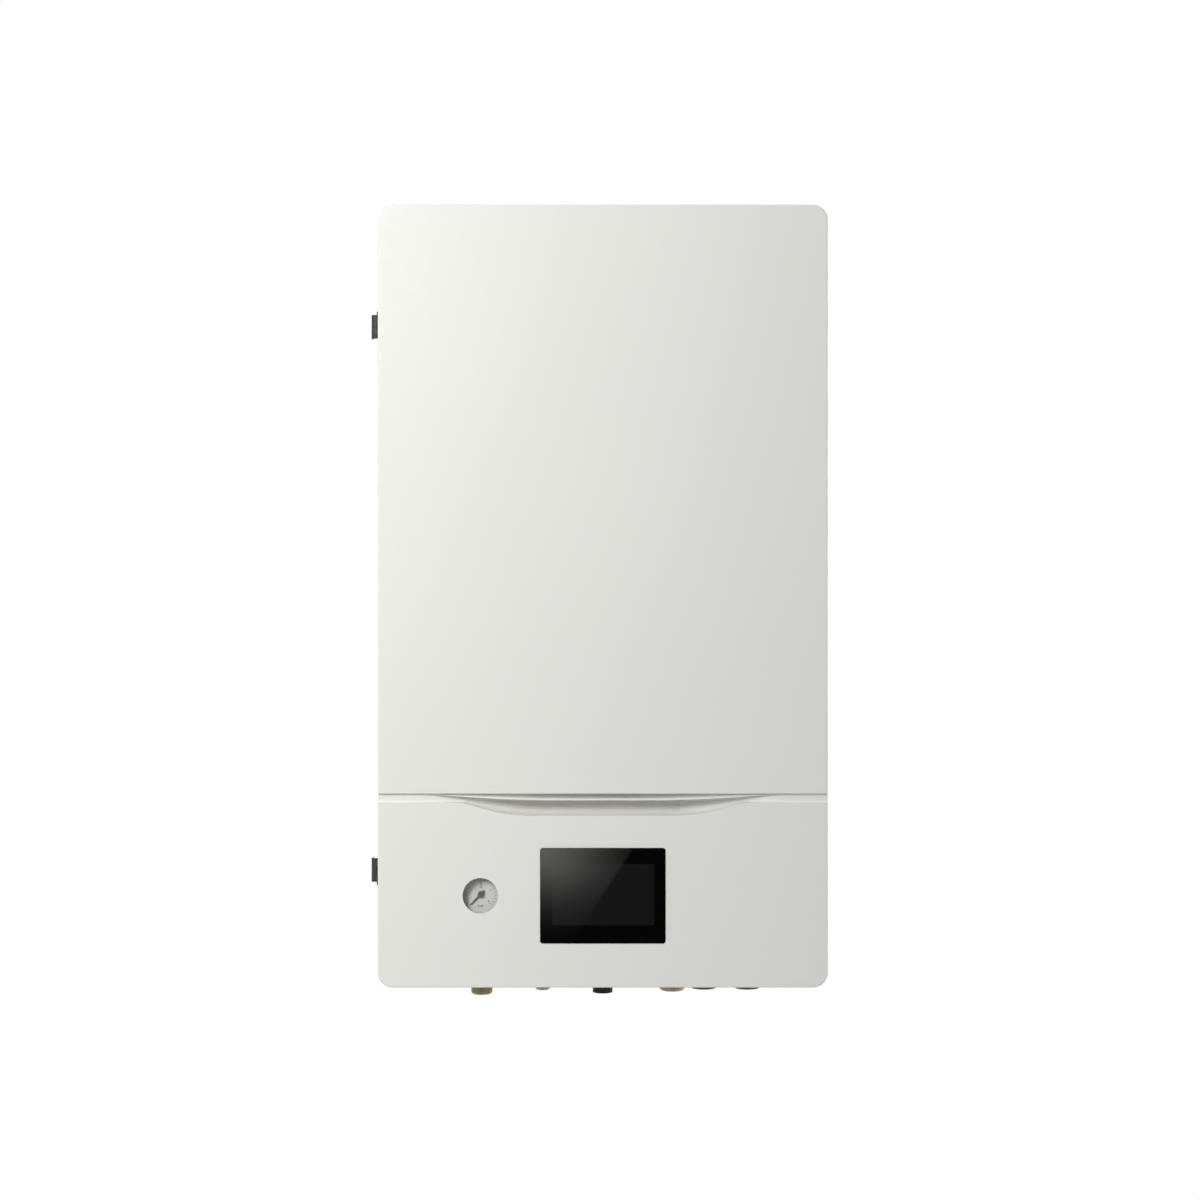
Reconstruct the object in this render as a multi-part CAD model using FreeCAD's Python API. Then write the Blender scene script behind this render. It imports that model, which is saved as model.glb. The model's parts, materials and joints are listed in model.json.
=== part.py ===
"""Wall-hung indoor unit of a split air-to-water heat pump, in millimetres.

+X is to the right of somebody facing the unit, +Y goes into the wall and +Z is up. The origin is
the middle of the two wall bolts, on the wall's surface. The front door is hinged at its left edge.
"""
import FreeCAD, Part
import math
import os

V = FreeCAD.Vector
UP, DOWN = V(0, 0, 1), V(0, 0, -1)
FRONT, BACK = V(0, -1, 0), V(0, 1, 0)
LEFT, RIGHT = V(-1, 0, 0), V(1, 0, 0)

# Overall sizes
WIDTH = 450.0
HEIGHT = 783.0
DEPTH = 280.0
RAIL_DROP = 75.0            # from the top edge down to the wall bolts
DOOR_DEPTH = 32.0
SEAL_GAP = 4.0              # between the case and the closed door
TOUCH = 0.4                 # air left between a closed door and what it closes on
SHEET = 1.2
FIT = 0.1                   # play between sheet pieces that slot together
TOP = RAIL_DROP
BOTTOM = TOP - HEIGHT
DOOR_FRONT = -DEPTH
DOOR_BACK = DOOR_FRONT + DOOR_DEPTH
CASE_FRONT = DOOR_BACK + SEAL_GAP

# Case
CASE_INSET = 1.0            # the door stands out past the case by this on each side
FLANGE = 20.0               # front flange of the case, which the seal sits on
REAR_FLANGE = 12.0
BACK_STANDOFF = 20.0        # room behind the back panel for the wall rail
CASE_X = WIDTH / 2 - CASE_INSET
INNER_X = CASE_X - SHEET
BACK_FACE = -BACK_STANDOFF
FLOOR = BOTTOM + SHEET
CEILING = TOP - SHEET
BEND = 2.0
SCREW_HEAD_D = 8.0
SCREW_HEAD_H = 2.4
SCREW_SHANK_D = 4.0
SCREW_SHANK = 6.0
SCREW_IN = 9.0              # screws from the top and bottom edges
SCREW_Y = (-60.0, -185.0)
SIDE_FLANGE = 16.0
SEAL_WIDTH = 8.0
SEAL_INSET = 2.0
MAGNET = (7.0, 40.0)        # width and height
MAGNET_INSET = (160.0, 93.0)  # middles of the magnets from the top and the bottom edge

# Wall rail
RAIL_WIDTH = 300.0
RAIL_HEIGHT = 40.0
RAIL_SHEET = 2.0
BOLT_SPACING = 260.0
BOLT_HOLE_D = 9.0
TONGUE_WIDTH = 36.0
TONGUE_SPACING = 180.0
TONGUE_Z = 10.0             # upper face of the tongues, which carries the back panel
TONGUE_LIP = 12.0
HANG_PLAY = 1.0             # spare height of the windows that the tongues go through

# Door
CORNER_R = 15.0
EDGE_R = 1.5
SKIN = 1.2                  # steel sheet of the upper panel
MOULDING = 2.5              # wall of the moulded lower panel
FRAME_SHEET = 2.0
FRAME_INSET = 2.0
FRAME_RAIL = 24.0
SEAM_RISE = 194.0           # lower edge of the upper panel above the bottom
GROOVE = 8.5
REBATE = 3.5                # floor of the groove behind the front face
SCOOP_DROP = 22.0           # lower edge of the finger scoop below the seam
SCOOP_DEPTH = 26.0
SCOOP_FLAT = 156.0          # full-depth length of the scoop
SCOOP_LENGTH = 310.0
SCOOP_FADE = 360.0          # from here the groove's floor falls away into the scoop
SCOOP_EASE = 1.5            # how gently it starts to fall
SCOOP_RISE = ((0, 0.01), (0.2, 0.08), (0.33, 0.26), (0.45, 0.48), (0.65, 0.78), (0.8, 0.91),
              (1, 1))       # along its ends, height
SCOOP_CURVE = ((0, 0), (0.30, 0.06), (0.56, 0.17), (0.76, 0.35), (0.90, 0.62), (1, 1))  # depth, height
LIP_LENGTH = 336.0
LIP_BOW = ((0, 0.15, 0.12), (0.065, 0.30, 0.20), (0.23, 0.60, 0.32), (0.36, 0.77, 0.45), (0.48, 0.90, 0.62),
           (0.64, 1, 0.85), (0.82, 1, 0.97), (1, 1, 1))  # from its ends to the middle, height, depth
LIP_BACK = 2.0              # rim of the lip behind the front face
SEAM_R = 0.5                # rounding of both panels along the seam
LIP_REACH = 6.9             # underside of the rim below the seam
LIP_RIM = 1.7
LIP_GUTTER = 11.0           # depth of the hollow between the rim and the lip's rear wall
LIP_SHEET = 1.5
LIP_INNER = ((1, 0), (1, 0.2), (0.85, 0.55), (0.45, 0.8))   # back, down in shares of the gutter and reach
LIP_OUTER = ((0.5, 1.03), (0.85, 0.75), (1, 0.3), (1, 0))
SEAM_Z = BOTTOM + SEAM_RISE
GROOVE_Z = SEAM_Z - GROOVE
SCOOP_Z = SEAM_Z - SCOOP_DROP

# Touch screen
SCREEN_RISE = 92.0          # middle of the screen and of the gauge above the bottom
SCREEN_SIZE = (125.0, 95.0)
SCREEN_CORNER = 2.5
SCREEN_PROUD = 0.8
SCREEN_PLAY = 0.3
GLASS = 2.0
SCREEN_BOX_DEPTH = 20.0
SCREEN_FLANGE = 5.0
SCREEN_Z = BOTTOM + SCREEN_RISE

# Hinges
HINGE_TOP_INSET = 118.5     # middle of the upper hinge below the top
HINGE_BOTTOM_INSET = 114.0  # middle of the lower hinge above the bottom
HINGE_HEIGHT = 24.0
BARREL_R = 4.7
BARREL_GAP = 0.3            # between a barrel and the door's left face
LEAF = 1.5
LEAF_REACH = 24.0
PIN_R = 2.2
PIN_PLAY = 0.05
KNUCKLE_GAP = 0.4
LEAF_CLEAR = 0.4            # between a leaf and the other leaf's barrel
HINGE_X = -WIDTH / 2 - BARREL_R - BARREL_GAP
HINGE_Y = (DOOR_BACK + CASE_FRONT) / 2

# Bottom connections, each with its place across and in front of the wall
ROW_Y = -150.0              # row that shows below the door
GLAND_Y = -190.0
REAR_ROW_Y = -100.0
GAS_INSET = 97.0            # from the door's left edge
LIQUID_STEP = 64.5          # from the gas connection
OUTLET_INSET = 60.0         # from the door's right edge
PUMP_STEP = 91.4            # from the heater to the pump and the inlet under it
GLAND_INSET = (120.0, 75.0)
GAS_X = GAS_INSET - WIDTH / 2
LIQUID_X = GAS_X + LIQUID_STEP
DRAIN_X = 0.0
OUTLET_X = WIDTH / 2 - OUTLET_INSET
INLET_X = OUTLET_X - PUMP_STEP
GLAND_X = [WIDTH / 2 - inset for inset in GLAND_INSET]
GAS_THREAD_D = 22.2
GAS_REACH = 29.2            # how far each connection stands below the case
LIQUID_THREAD_D = 15.9
LIQUID_REACH = 24.8
WATER_THREAD_D = 26.4
WATER_REACH = 25.4
WATER_BORE_D = 19.0
DRAIN_D = 21.0
DRAIN_REACH = 27.6
DRAIN_WALL = 2.0
GLAND_D = 30.0
GLAND_REACH = 16.0
GLAND_CROWN = ((0, 3.0), (1.0, 1.0), (2.5, 0))  # inwards from the nut's side, above its lower end
GLAND_STEM = 7.0            # thread above the bottom panel
GLAND_LOCK = 5.0
GLAND_THREAD_D = 25.0
GLAND_BORE_D = 16.0
HOLE_PLAY = 0.5
UNION_RISE = 20.0           # top of each refrigerant union above the bottom
CHAMFER = 1.5
RUN_OUT = 2.0               # plain neck of each connection just below the case

# Pipes
WATER_PIPE_D = 22.0
WATER_PIPE_WALL = 1.0
WATER_BEND = 24.0
GAS_PIPE_D = 15.88
GAS_BEND = 20.0
LIQUID_PIPE_D = 9.52
LIQUID_BEND = 16.0
GAS_STEP = 23.0             # the gas pipe goes up this far to the left of its port
GAS_RISE = 48.0             # its first straight run
GAS_SLANT = 40.0            # height of its slanted run
LIQUID_RISE = 98.0
COPPER_WALL = 0.9
VESSEL_PIPE_D = 10.0
VESSEL_BEND = 24.0
DISCHARGE_D = 15.0
DISCHARGE_BEND = 20.0
GAUGE_PIPE_D = 6.0
GAUGE_BEND = 12.0
NUT_AF = 34.0               # union nut across its flats
NUT_H = 15.0
NUT_PLAY = 0.15
BOSS_WALL = 3.0

# Plate heat exchanger
PLATE_WIDTH = 112.0
PLATE_COUNT = 22
PLATE_PITCH = 2.8
END_PLATE = 4.0
PLATE_CORNER = 22.0
PLATE_STEP = 1.6            # how far every other plate's rolled edge stands back
EXCHANGER_INSET = 85.0      # its middle from the door's left edge
EXCHANGER_DROP = 330.0      # its top below the case's top
EXCHANGER_RISE = 163.0      # its foot above the case's bottom
EXCHANGER_GAP = 25.0        # stud length between it and the back panel
PORT_X = 25.0
PORT_INSET = 25.0           # ports from the ends of the plates
PORT_D = 27.0
PORT_REACH = 22.0
STUD_D = 8.0
PORT_RUN_Y = -176.0         # pipes run across in front of the ports here
EXCHANGER_X = EXCHANGER_INSET - WIDTH / 2
EXCHANGER_TOP = TOP - EXCHANGER_DROP
EXCHANGER_BOTTOM = BOTTOM + EXCHANGER_RISE
EXCHANGER_Z = (EXCHANGER_TOP + EXCHANGER_BOTTOM) / 2
PLATE_HEIGHT = EXCHANGER_TOP - EXCHANGER_BOTTOM
PORT_HIGH, PORT_LOW = EXCHANGER_TOP - PORT_INSET, EXCHANGER_BOTTOM + PORT_INSET
PORT_LEFT, PORT_RIGHT = EXCHANGER_X - PORT_X, EXCHANGER_X + PORT_X
PORT_Z = (PORT_HIGH - PORT_LOW) / 2

# Back-up heater
HEATER_D = 100.0
HEATER_DROP = 325.0         # its top below the case's top
HEATER_RISE = 148.0         # its foot above the case's bottom
HEATER_DISH = 14.0
HEATER_NIPPLE_D = 27.0
HEATER_NIPPLE = 14.0
HEATER_FOOT = (20.0, 40.0)  # width and height of a welded foot
HEATER_FOOT_INSET = (80.0, 60.0)  # feet from the heater's top and from its bottom
ELEMENT_AF = 46.0
ELEMENT_H = 12.0
ELEMENT_CAP_D = 40.0
ELEMENT_CAP_H = 26.0
CUTOUT_DROP = 15.0          # below the heater's middle
CUTOUT_D = 24.0
CUTOUT_H = 12.0
CUTOUT_PLATE = (34.0, 1.5)
BUTTON_D = 6.0
BUTTON_PROUD = 3.0
BUTTON_TRAVEL = 1.5
BUTTON_PLAY = 0.2
HEATER_TOP = TOP - HEATER_DROP
HEATER_BOTTOM = BOTTOM + HEATER_RISE
HEATER_INLET_Z = PORT_HIGH
CUTOUT_Z = (HEATER_TOP + HEATER_BOTTOM) / 2 - CUTOUT_DROP

# Pump
PUMP_RISE = 238.0           # its axis above the case's bottom
PUMP_LENGTH = 130.0         # from port face to port face
VOLUTE_R = 42.0
VOLUTE_FRONT = 24.0         # in front of the ports' line
VOLUTE_REAR = 22.0
VOLUTE_WALL = 6.0
PUMP_PORT_D = 33.0
PUMP_BORE_D = 18.0
MOTOR_R = 37.0
MOTOR_LENGTH = 30.0
MOTOR_WALL = 5.0
HEAD_SIZE = (92.0, 84.0, 24.0)
IMPELLER_R = 30.0
IMPELLER_H = 14.0
ROTOR_R = 20.0
ROTOR_SHAFT_R = 5.0
SHAFT_PLAY = 0.06
VANES = 7
PUMP_Z = BOTTOM + PUMP_RISE
PUMP_HIGH, PUMP_LOW = PUMP_Z + PUMP_LENGTH / 2, PUMP_Z - PUMP_LENGTH / 2
PUMP_CROWN = 40.0           # its outlet pipe rises by this
PUMP_PIPE_STEP = 63.6       # and comes down this far to the left
PUMP_PIPE_LEAN = 10.0       # leaning to the front by this at the crown

# Expansion vessel
VESSEL_X = -40.0
VESSEL_DROP = 160.0         # its middle below the case's top
VESSEL_D = 280.0
VESSEL_DEPTH = 100.0
VESSEL_GAP = 6.0            # between its dished rear and the back panel
VESSEL_RIM = 16.0           # straight part of the drum between the two dishes
VESSEL_NIPPLE_D = 18.0
VESSEL_NIPPLE = 14.0
CRADLE_SHEET = 2.0
CRADLE_DEPTH = 60.0
CRADLE_TURN = (215.0, 325.0)
CRADLE_SLOT = 26.0          # left open for the nipple
VESSEL_Z = TOP - VESSEL_DROP
VESSEL_TAP_Z = BOTTOM + 108.0

# Relief valve, air vent, flow sensor and strainer
RISE_STEP = 50.0            # where the exchanger's outlet pipe turns to the rear, from its port
RELIEF_STEP = 45.0          # relief valve to the right of that turn
VENT_STEP = 120.0           # air vent to the left of the heater
RELIEF_X = PORT_RIGHT + RISE_STEP + RELIEF_STEP
VENT_X = OUTLET_X - VENT_STEP
RELIEF_BODY_R = 13.0
RELIEF_BODY = 40.0
RELIEF_OUTLET = 20.0
RELIEF_BONNET_R = 15.0
RELIEF_BONNET = 14.0
KNOB_R = 17.0
KNOB_H = 18.0
KNOB_LOBES = 8
KNOB_STEM_R = 4.0
KNOB_GAP = 0.5
VENT_D = 30.0
VENT_H = 26.0
VENT_CAP_D = 12.0
VENT_CAP_H = 8.0
SENSOR_TOP = BOTTOM + 118.0
SENSOR_BOTTOM = BOTTOM + 58.0
SENSOR_D = 34.0
SENSOR_BOX = (26.0, 24.0, 34.0)
STRAINER_TOP = BOTTOM + 80.0
STRAINER_D = 38.0
STRAINER_BRANCH = 40.0
STRAINER_BRANCH_D = 32.0

# Control box
EAR_REACH = 22.8            # from the box to a side panel
BOX_HALF = INNER_X - EAR_REACH
BOX_TOP = TOP - 15.0
BOX_BOTTOM = BOX_TOP - 225.0
BOX_FRONT = CASE_FRONT + 8.0
BOX_REAR = -136.0
COVER_BOTTOM = BOX_TOP - 145.0
COVER_RETURN = 12.0
EAR = 30.0                  # height of each ear that holds the box to a side panel
EAR_Z = (BOX_TOP - 40.0, BOX_BOTTOM + 35.0)
EAR_FOOT = 16.0
BOARD = (220.0, 110.0, 1.6)
BOARD_Z = BOX_TOP - 68.0
RELAY = (19.0, 16.0, 15.0)  # width, height off the board, and length
RELAY_PITCH = 26.0
RELAYS = 4
TRANSFORMER = (50.0, 32.0, 42.0)
POST_D = 8.0
BOARD_STANDOFF = 12.0
TERMINAL_POLES = 14
TERMINAL_PITCH = 14.0
TERMINAL_H = 34.0
TERMINAL_DEPTH = 38.0
TERMINAL_STEP = 12.0        # the lower row of wire entries sits back by this
TERMINAL_LEDGE = 13.0       # height of that lower row
TERMINAL_HOLE_D = 7.0
TERMINAL_SCREW_DEPTH = 8.0
TERMINAL_WIRE_DEPTH = 10.0
TERMINAL_SCREW_DROP = 10.0  # screws below the top of the row
TERMINAL_SLIT = 1.2         # gap between the poles
TERMINAL_SLIT_DEPTH = 6.0
TERMINAL_Z = BOX_BOTTOM + 40.0

# Pressure gauge
GAUGE_INSET = 102.6         # from the door's left edge
GAUGE_HOLE_D = 35.5
GAUGE_CASE_D = 41.0
GAUGE_RECESS = 7.0          # front of the gauge's rim behind the door's face
GAUGE_CASE_H = 35.0
GAUGE_WALL = 1.5
DIAL_DEPTH = 5.0            # dial behind the rim
DIAL_H = 1.0
CRYSTAL_H = 1.5
NEEDLE_LENGTH = 15.0
NEEDLE_TAIL = 5.0
NEEDLE_WIDTH = (2.4, 0.9)   # at the tail and at the tip
NEEDLE_H = 0.6
NEEDLE_HUB_R = 3.2
NEEDLE_HUB_H = 2.2
NEEDLE_LIFT = 0.5
NEEDLE_REST = 225.0         # the zero mark, anticlockwise from the right as seen from the front
GAUGE_NECK_D = 12.0
GAUGE_NECK = 12.0
GAUGE_PLATE = (46.0, 1.5)
GAUGE_FOOT = 22.0
GAUGE_RUN = 34.0            # its tube runs back by this
GAUGE_TAP_STEP = 25.0       # tap on the pump's pipe, from the exchanger's port
GAUGE_TUBE_RISE = 26.0
GAUGE_X = GAUGE_INSET - WIDTH / 2
GAUGE_TAP_X = PORT_RIGHT + GAUGE_TAP_STEP
GAUGE_Z = SCREEN_Z


# Forms that several pieces share
def block(x, y, z):
    """Box between two values along each axis."""
    low = V(min(x), min(y), min(z))
    return Part.makeBox(abs(x[1] - x[0]), abs(y[1] - y[0]), abs(z[1] - z[0]), low)


def rod(start, direction, diameter, length):
    """Round bar from a start point along a direction."""
    return Part.makeCylinder(diameter / 2, length, start, direction)


def hexagon(start, direction, across_flats, length):
    """Hexagonal bar from a start point along a direction."""
    turn = FreeCAD.Rotation(UP, direction)
    radius = across_flats / math.sqrt(3)
    angles = [math.radians(60 * k) for k in range(7)]
    corners = [start + turn.multVec(V(radius * math.cos(a), radius * math.sin(a), 0)) for a in angles]
    return Part.Face(Part.makePolygon(corners)).extrude(direction * length)


def turned(start, direction, profile):
    """Solid of revolution from (radius, distance along the direction) pairs."""
    points = [V(radius, 0, along) for radius, along in profile]
    solid = Part.Face(Part.makePolygon(points + points[:1])).revolve(V(), UP, 360)
    solid.Placement = FreeCAD.Placement(start, FreeCAD.Rotation(UP, direction))
    return solid


def rounded(x, z, y, lower_r, upper_r):
    """Closed outline in a plane of constant Y: a rectangle with round lower and upper corners."""
    corners = [(x[0], z[0], 1, 1, lower_r), (x[1], z[0], -1, 1, lower_r),
               (x[1], z[1], -1, -1, upper_r), (x[0], z[1], 1, -1, upper_r)]
    starts, ends, arcs = [], [], []
    for index, (cx, cz, sx, sz, r) in enumerate(corners):
        along_x = V(cx + sx * r, y, cz)
        along_z = V(cx, y, cz + sz * r)
        middle = V(cx + sx * r * (1 - math.sqrt(0.5)), y, cz + sz * r * (1 - math.sqrt(0.5)))
        first, second = (along_z, along_x) if index in (0, 2) else (along_x, along_z)
        starts.append(first)
        ends.append(second)
        arcs.append(Part.Arc(first, middle, second).toShape() if r > 0 else None)
    edges = []
    for index in range(4):
        if arcs[index]:
            edges.append(arcs[index])
        edges.append(Part.LineSegment(ends[index], starts[(index + 1) % 4]).toShape())
    return Part.Wire(edges)


def slab(x, z, y, lower_r=0.0, upper_r=0.0):
    """Plate facing the front, with rounded corners, between two values of Y."""
    return Part.Face(Part.Wire(rounded(x, z, y[0], lower_r, upper_r))).extrude(V(0, y[1] - y[0], 0))


def edges_at(solid, test):
    """Edges whose ends all pass a test."""
    return [edge for edge in solid.Edges if all(test(v.Point) for v in edge.Vertexes)]


def near(a, b):
    return abs(a - b) < 1e-6


def bent_path(points, radius):
    """Straight runs through the points, joined by tangent arcs of one radius."""
    edges = []
    start = points[0]
    for before, corner, after in zip(points, points[1:], points[2:]):
        inward = (corner - before).normalize()
        outward = (after - corner).normalize()
        half = inward.getAngle(outward) / 2
        trim = radius * math.tan(half)
        first, last = corner - inward * trim, corner + outward * trim
        centre = corner + (outward - inward).normalize() * (radius / math.cos(half))
        middle = centre + (corner - centre).normalize() * radius
        edges += [Part.LineSegment(start, first).toShape(), Part.Arc(first, middle, last).toShape()]
        start = last
    edges.append(Part.LineSegment(start, points[-1]).toShape())
    return Part.Wire(edges)


def sweep(points, diameter, radius):
    """Solid round bar along bent_path."""
    circle = Part.Wire(Part.makeCircle(diameter / 2, points[0], points[1] - points[0]))
    return bent_path(points, radius).makePipeShell([circle], True, False)


def pipe(points, diameter, wall, radius, bosses=()):
    """Tube along bent runs, with round bosses given as (start, direction, length, bore)."""
    body = sweep(points, diameter, radius)
    for start, direction, length, bore in bosses:
        body = body.fuse(rod(start, direction, bore + 2 * BOSS_WALL, length))
    body = body.cut(sweep(points, diameter - 2 * wall, radius))
    for start, direction, length, bore in bosses:
        body = body.cut(rod(start, direction, bore, length))
    return body.removeSplitter()


def nut(start, direction, pipe_d):
    """Union nut that slides along a pipe and seats on the port at its start."""
    body = hexagon(start, direction, NUT_AF, NUT_H)
    collar = turned(start, direction, [(0, 0), (NUT_AF / 2 + 1, 0), (NUT_AF / 2 + 1, NUT_H - 4),
                                       (NUT_AF / 2 - 2, NUT_H), (0, NUT_H)])
    return body.common(collar).cut(rod(start, direction, pipe_d + 2 * NUT_PLAY, NUT_H))


# Case
def wall_rail():
    """Rail on the wall, with two upturned tongues that the unit hangs on."""
    half = RAIL_WIDTH / 2
    rail = block((-half, half), (-RAIL_SHEET, 0), (-RAIL_HEIGHT / 2, RAIL_HEIGHT / 2))
    tip = BACK_FACE - FIT
    for side in (-1, 1):
        middle = side * TONGUE_SPACING / 2
        across = (middle - TONGUE_WIDTH / 2, middle + TONGUE_WIDTH / 2)
        shelf = block(across, (tip - RAIL_SHEET, 0), (TONGUE_Z - RAIL_SHEET, TONGUE_Z))
        lip = block(across, (tip - RAIL_SHEET, tip), (TONGUE_Z - RAIL_SHEET, TONGUE_Z + TONGUE_LIP))
        rail = rail.fuse([shelf, lip])
    for side in (-1, 1):
        rail = rail.cut(rod(V(side * BOLT_SPACING / 2, 0, 0), FRONT, BOLT_HOLE_D, RAIL_SHEET))
    return rail.removeSplitter()


def back_panel():
    """Flat sheet with a window for each tongue of the wall rail."""
    half = INNER_X - FIT
    panel = block((-half, half), (BACK_FACE, BACK_FACE + SHEET), (FLOOR + FIT, CEILING - FIT))
    window = TONGUE_LIP + RAIL_SHEET + HANG_PLAY
    for side in (-1, 1):
        middle = side * TONGUE_SPACING / 2
        reach = TONGUE_WIDTH / 2 + HANG_PLAY
        panel = panel.cut(block((middle - reach, middle + reach), (BACK_FACE, BACK_FACE + SHEET),
                                (TONGUE_Z - window, TONGUE_Z)))
    return panel


def screw_points():
    """Where each casing screw enters a side panel, and the way it goes in."""
    heights = (TOP - SCREW_IN, BOTTOM + SCREW_IN)
    return [(V(side * CASE_X, y, z), V(-side, 0, 0)) for side in (-1, 1) for y in SCREW_Y for z in heights]


def screw_holes(panel):
    reach = SHEET * 2 + FIT
    for point, inward in screw_points():
        panel = panel.cut(rod(point, inward, SCREW_SHANK_D + 2 * FIT, reach))
    return panel


def casing_screws():
    """Pan-head screws that hold the top and bottom panels between the side panels."""
    head = [(0, 0), (SCREW_HEAD_D / 2, 0), (SCREW_HEAD_D / 2, SCREW_HEAD_H * 0.5),
            (SCREW_HEAD_D / 2 - 1, SCREW_HEAD_H), (0, SCREW_HEAD_H)]
    screws = []
    for point, inward in screw_points():
        shank = rod(point, inward, SCREW_SHANK_D, SCREW_SHANK)
        screws.append(turned(point, inward * -1, head).fuse(shank).removeSplitter())
    return Part.makeCompound(screws)


def side_panel(side):
    """Side sheet with a front flange for the seal and a rear flange against the wall."""
    between = (FLOOR + FIT, CEILING - FIT)
    web = block((side * INNER_X, side * CASE_X), (CASE_FRONT, 0), (BOTTOM, TOP))
    front = block((side * (CASE_X - FLANGE), side * CASE_X), (CASE_FRONT, CASE_FRONT + SHEET), between)
    rear = block((side * (CASE_X - REAR_FLANGE), side * CASE_X), (-SHEET, 0), between)
    panel = web.fuse([front, rear]).removeSplitter()
    bend = edges_at(panel, lambda p: near(p.x, side * CASE_X) and near(p.y, CASE_FRONT))
    return screw_holes(panel.makeFillet(BEND, bend))


def end_panel(outer, inward):
    """Top or bottom sheet, flanged at the front, the wall and both sides."""
    half = INNER_X - FIT
    inner = outer + inward * SHEET
    front_half = CASE_X - FLANGE - FIT
    rear_half = CASE_X - REAR_FLANGE - FIT
    fold = block((-front_half, front_half), (CASE_FRONT, CASE_FRONT + FLANGE), (outer, inner))
    lip = block((-front_half, front_half), (CASE_FRONT, CASE_FRONT + SHEET), (outer, outer + inward * FLANGE))
    fold = fold.fuse(lip).removeSplitter()
    fold = fold.makeFillet(BEND, edges_at(fold, lambda p: near(p.z, outer) and near(p.y, CASE_FRONT)))
    pieces = [block((-half, half), (CASE_FRONT + BEND, 0), (outer, inner)),
              block((-rear_half, rear_half), (-SHEET, 0), (outer, outer + inward * REAR_FLANGE))]
    for side in (-1, 1):
        pieces.append(block((side * half, side * (half - SHEET)), (CASE_FRONT + FLANGE, BACK_FACE - FLANGE),
                            (outer, outer + inward * SIDE_FLANGE)))
    return screw_holes(fold.fuse(pieces).removeSplitter())


def bottom_panel():
    """Bottom sheet with a hole for each connection."""
    panel = end_panel(BOTTOM, 1)
    holes = [(GAS_X, ROW_Y, GAS_THREAD_D), (LIQUID_X, ROW_Y, LIQUID_THREAD_D), (DRAIN_X, ROW_Y, DRAIN_D),
             (INLET_X, ROW_Y, WATER_THREAD_D), (OUTLET_X, REAR_ROW_Y, WATER_THREAD_D)]
    holes += [(x, GLAND_Y, GLAND_THREAD_D) for x in GLAND_X]
    for x, y, diameter in holes:
        panel = panel.cut(rod(V(x, y, BOTTOM), UP, diameter + 2 * HOLE_PLAY, SHEET))
    return panel


def door_seal():
    """Foam strip round the front flange of the case."""
    thick = (CASE_FRONT - SEAL_GAP + TOUCH, CASE_FRONT)
    outer, inner = SEAL_INSET, SEAL_INSET + SEAL_WIDTH
    frame = slab((outer - CASE_X, CASE_X - outer), (BOTTOM + outer, TOP - outer), thick)
    hole = slab((inner - CASE_X, CASE_X - inner), (BOTTOM + inner, TOP - inner), thick)
    return frame.cut(hole)


def door_magnets():
    """Two magnets on the right flange, which hold the steel door frame shut."""
    edge = CASE_X - FLANGE + FIT
    thick = (CASE_FRONT - SEAL_GAP + TOUCH, CASE_FRONT)
    return Part.makeCompound([block((edge, edge + MAGNET[0]), thick,
                                    (middle - MAGNET[1] / 2, middle + MAGNET[1] / 2))
                              for middle in (TOP - MAGNET_INSET[0], BOTTOM + MAGNET_INSET[1])])


# Door
def tray(x, z, lower_r, upper_r, wall, seam):
    """Shallow tray open to the rear; its front edges are round, and less so along the seam."""
    back = DOOR_BACK - FRAME_SHEET
    outer = slab(x, z, (DOOR_FRONT, back), lower_r, upper_r)
    rim = edges_at(outer, lambda p: near(p.y, DOOR_FRONT))
    rim = [edge for edge in rim if not all(near(v.Z, seam) for v in edge.Vertexes)]
    outer = outer.makeFillet(EDGE_R, rim)
    outer = outer.makeFillet(SEAM_R, edges_at(outer, lambda p: near(p.y, DOOR_FRONT) and near(p.z, seam)))
    hollow = slab((x[0] + wall, x[1] - wall), (z[0] + wall, z[1] - wall), (DOOR_FRONT + wall, back),
                  max(lower_r - wall, 0), max(upper_r - wall, 0))
    return outer.cut(hollow)


def upper_panel():
    """Folded steel front panel above the seam."""
    return tray((-WIDTH / 2, WIDTH / 2), (SEAM_Z, TOP), 0, CORNER_R, SKIN, SEAM_Z)


def scoop_section(x, tall, wall):
    """Side view of the finger scoop at one place across, for a share of its full height."""
    end = SCOOP_FADE / 2
    grown = min(max((end - abs(x)) / (end - SCOOP_FLAT / 2), 0), 1)
    deep = REBATE + grown ** SCOOP_EASE * (SCOOP_DEPTH - REBATE) + wall
    low = GROOVE_Z - tall * (GROOVE_Z - SCOOP_Z) - wall
    front = DOOR_FRONT + wall / 2 if wall else DOOR_FRONT - 1
    top = SEAM_Z if wall else SEAM_Z + 1
    start = max(front, DOOR_FRONT)
    reach = DOOR_FRONT + deep - start
    curve = [V(x, start + reach * d, low + (GROOVE_Z - low) * h) for d, h in SCOOP_CURVE]
    corners = [V(x, DOOR_FRONT + deep, top), V(x, front, top)]
    if front < DOOR_FRONT:
        corners.append(V(x, front, low))
    return Part.makePolygon(curve + corners + curve[:1])


def scoop(wall):
    """Finger scoop as a solid: the air in it, or with a wall the moulding round it."""
    inner, outer, end = SCOOP_FLAT / 2, SCOOP_LENGTH / 2, SCOOP_FADE / 2
    run = outer - inner
    places = [(end + 2 * MOULDING - wall, 0), ((end + outer) / 2, 0)]
    places += [(outer - run * along, tall) for along, tall in SCOOP_RISE]
    places += [(-x, tall) for x, tall in reversed(places)]
    return Part.makeLoft([scoop_section(x, tall, wall) for x, tall in places], True, True)


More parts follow.
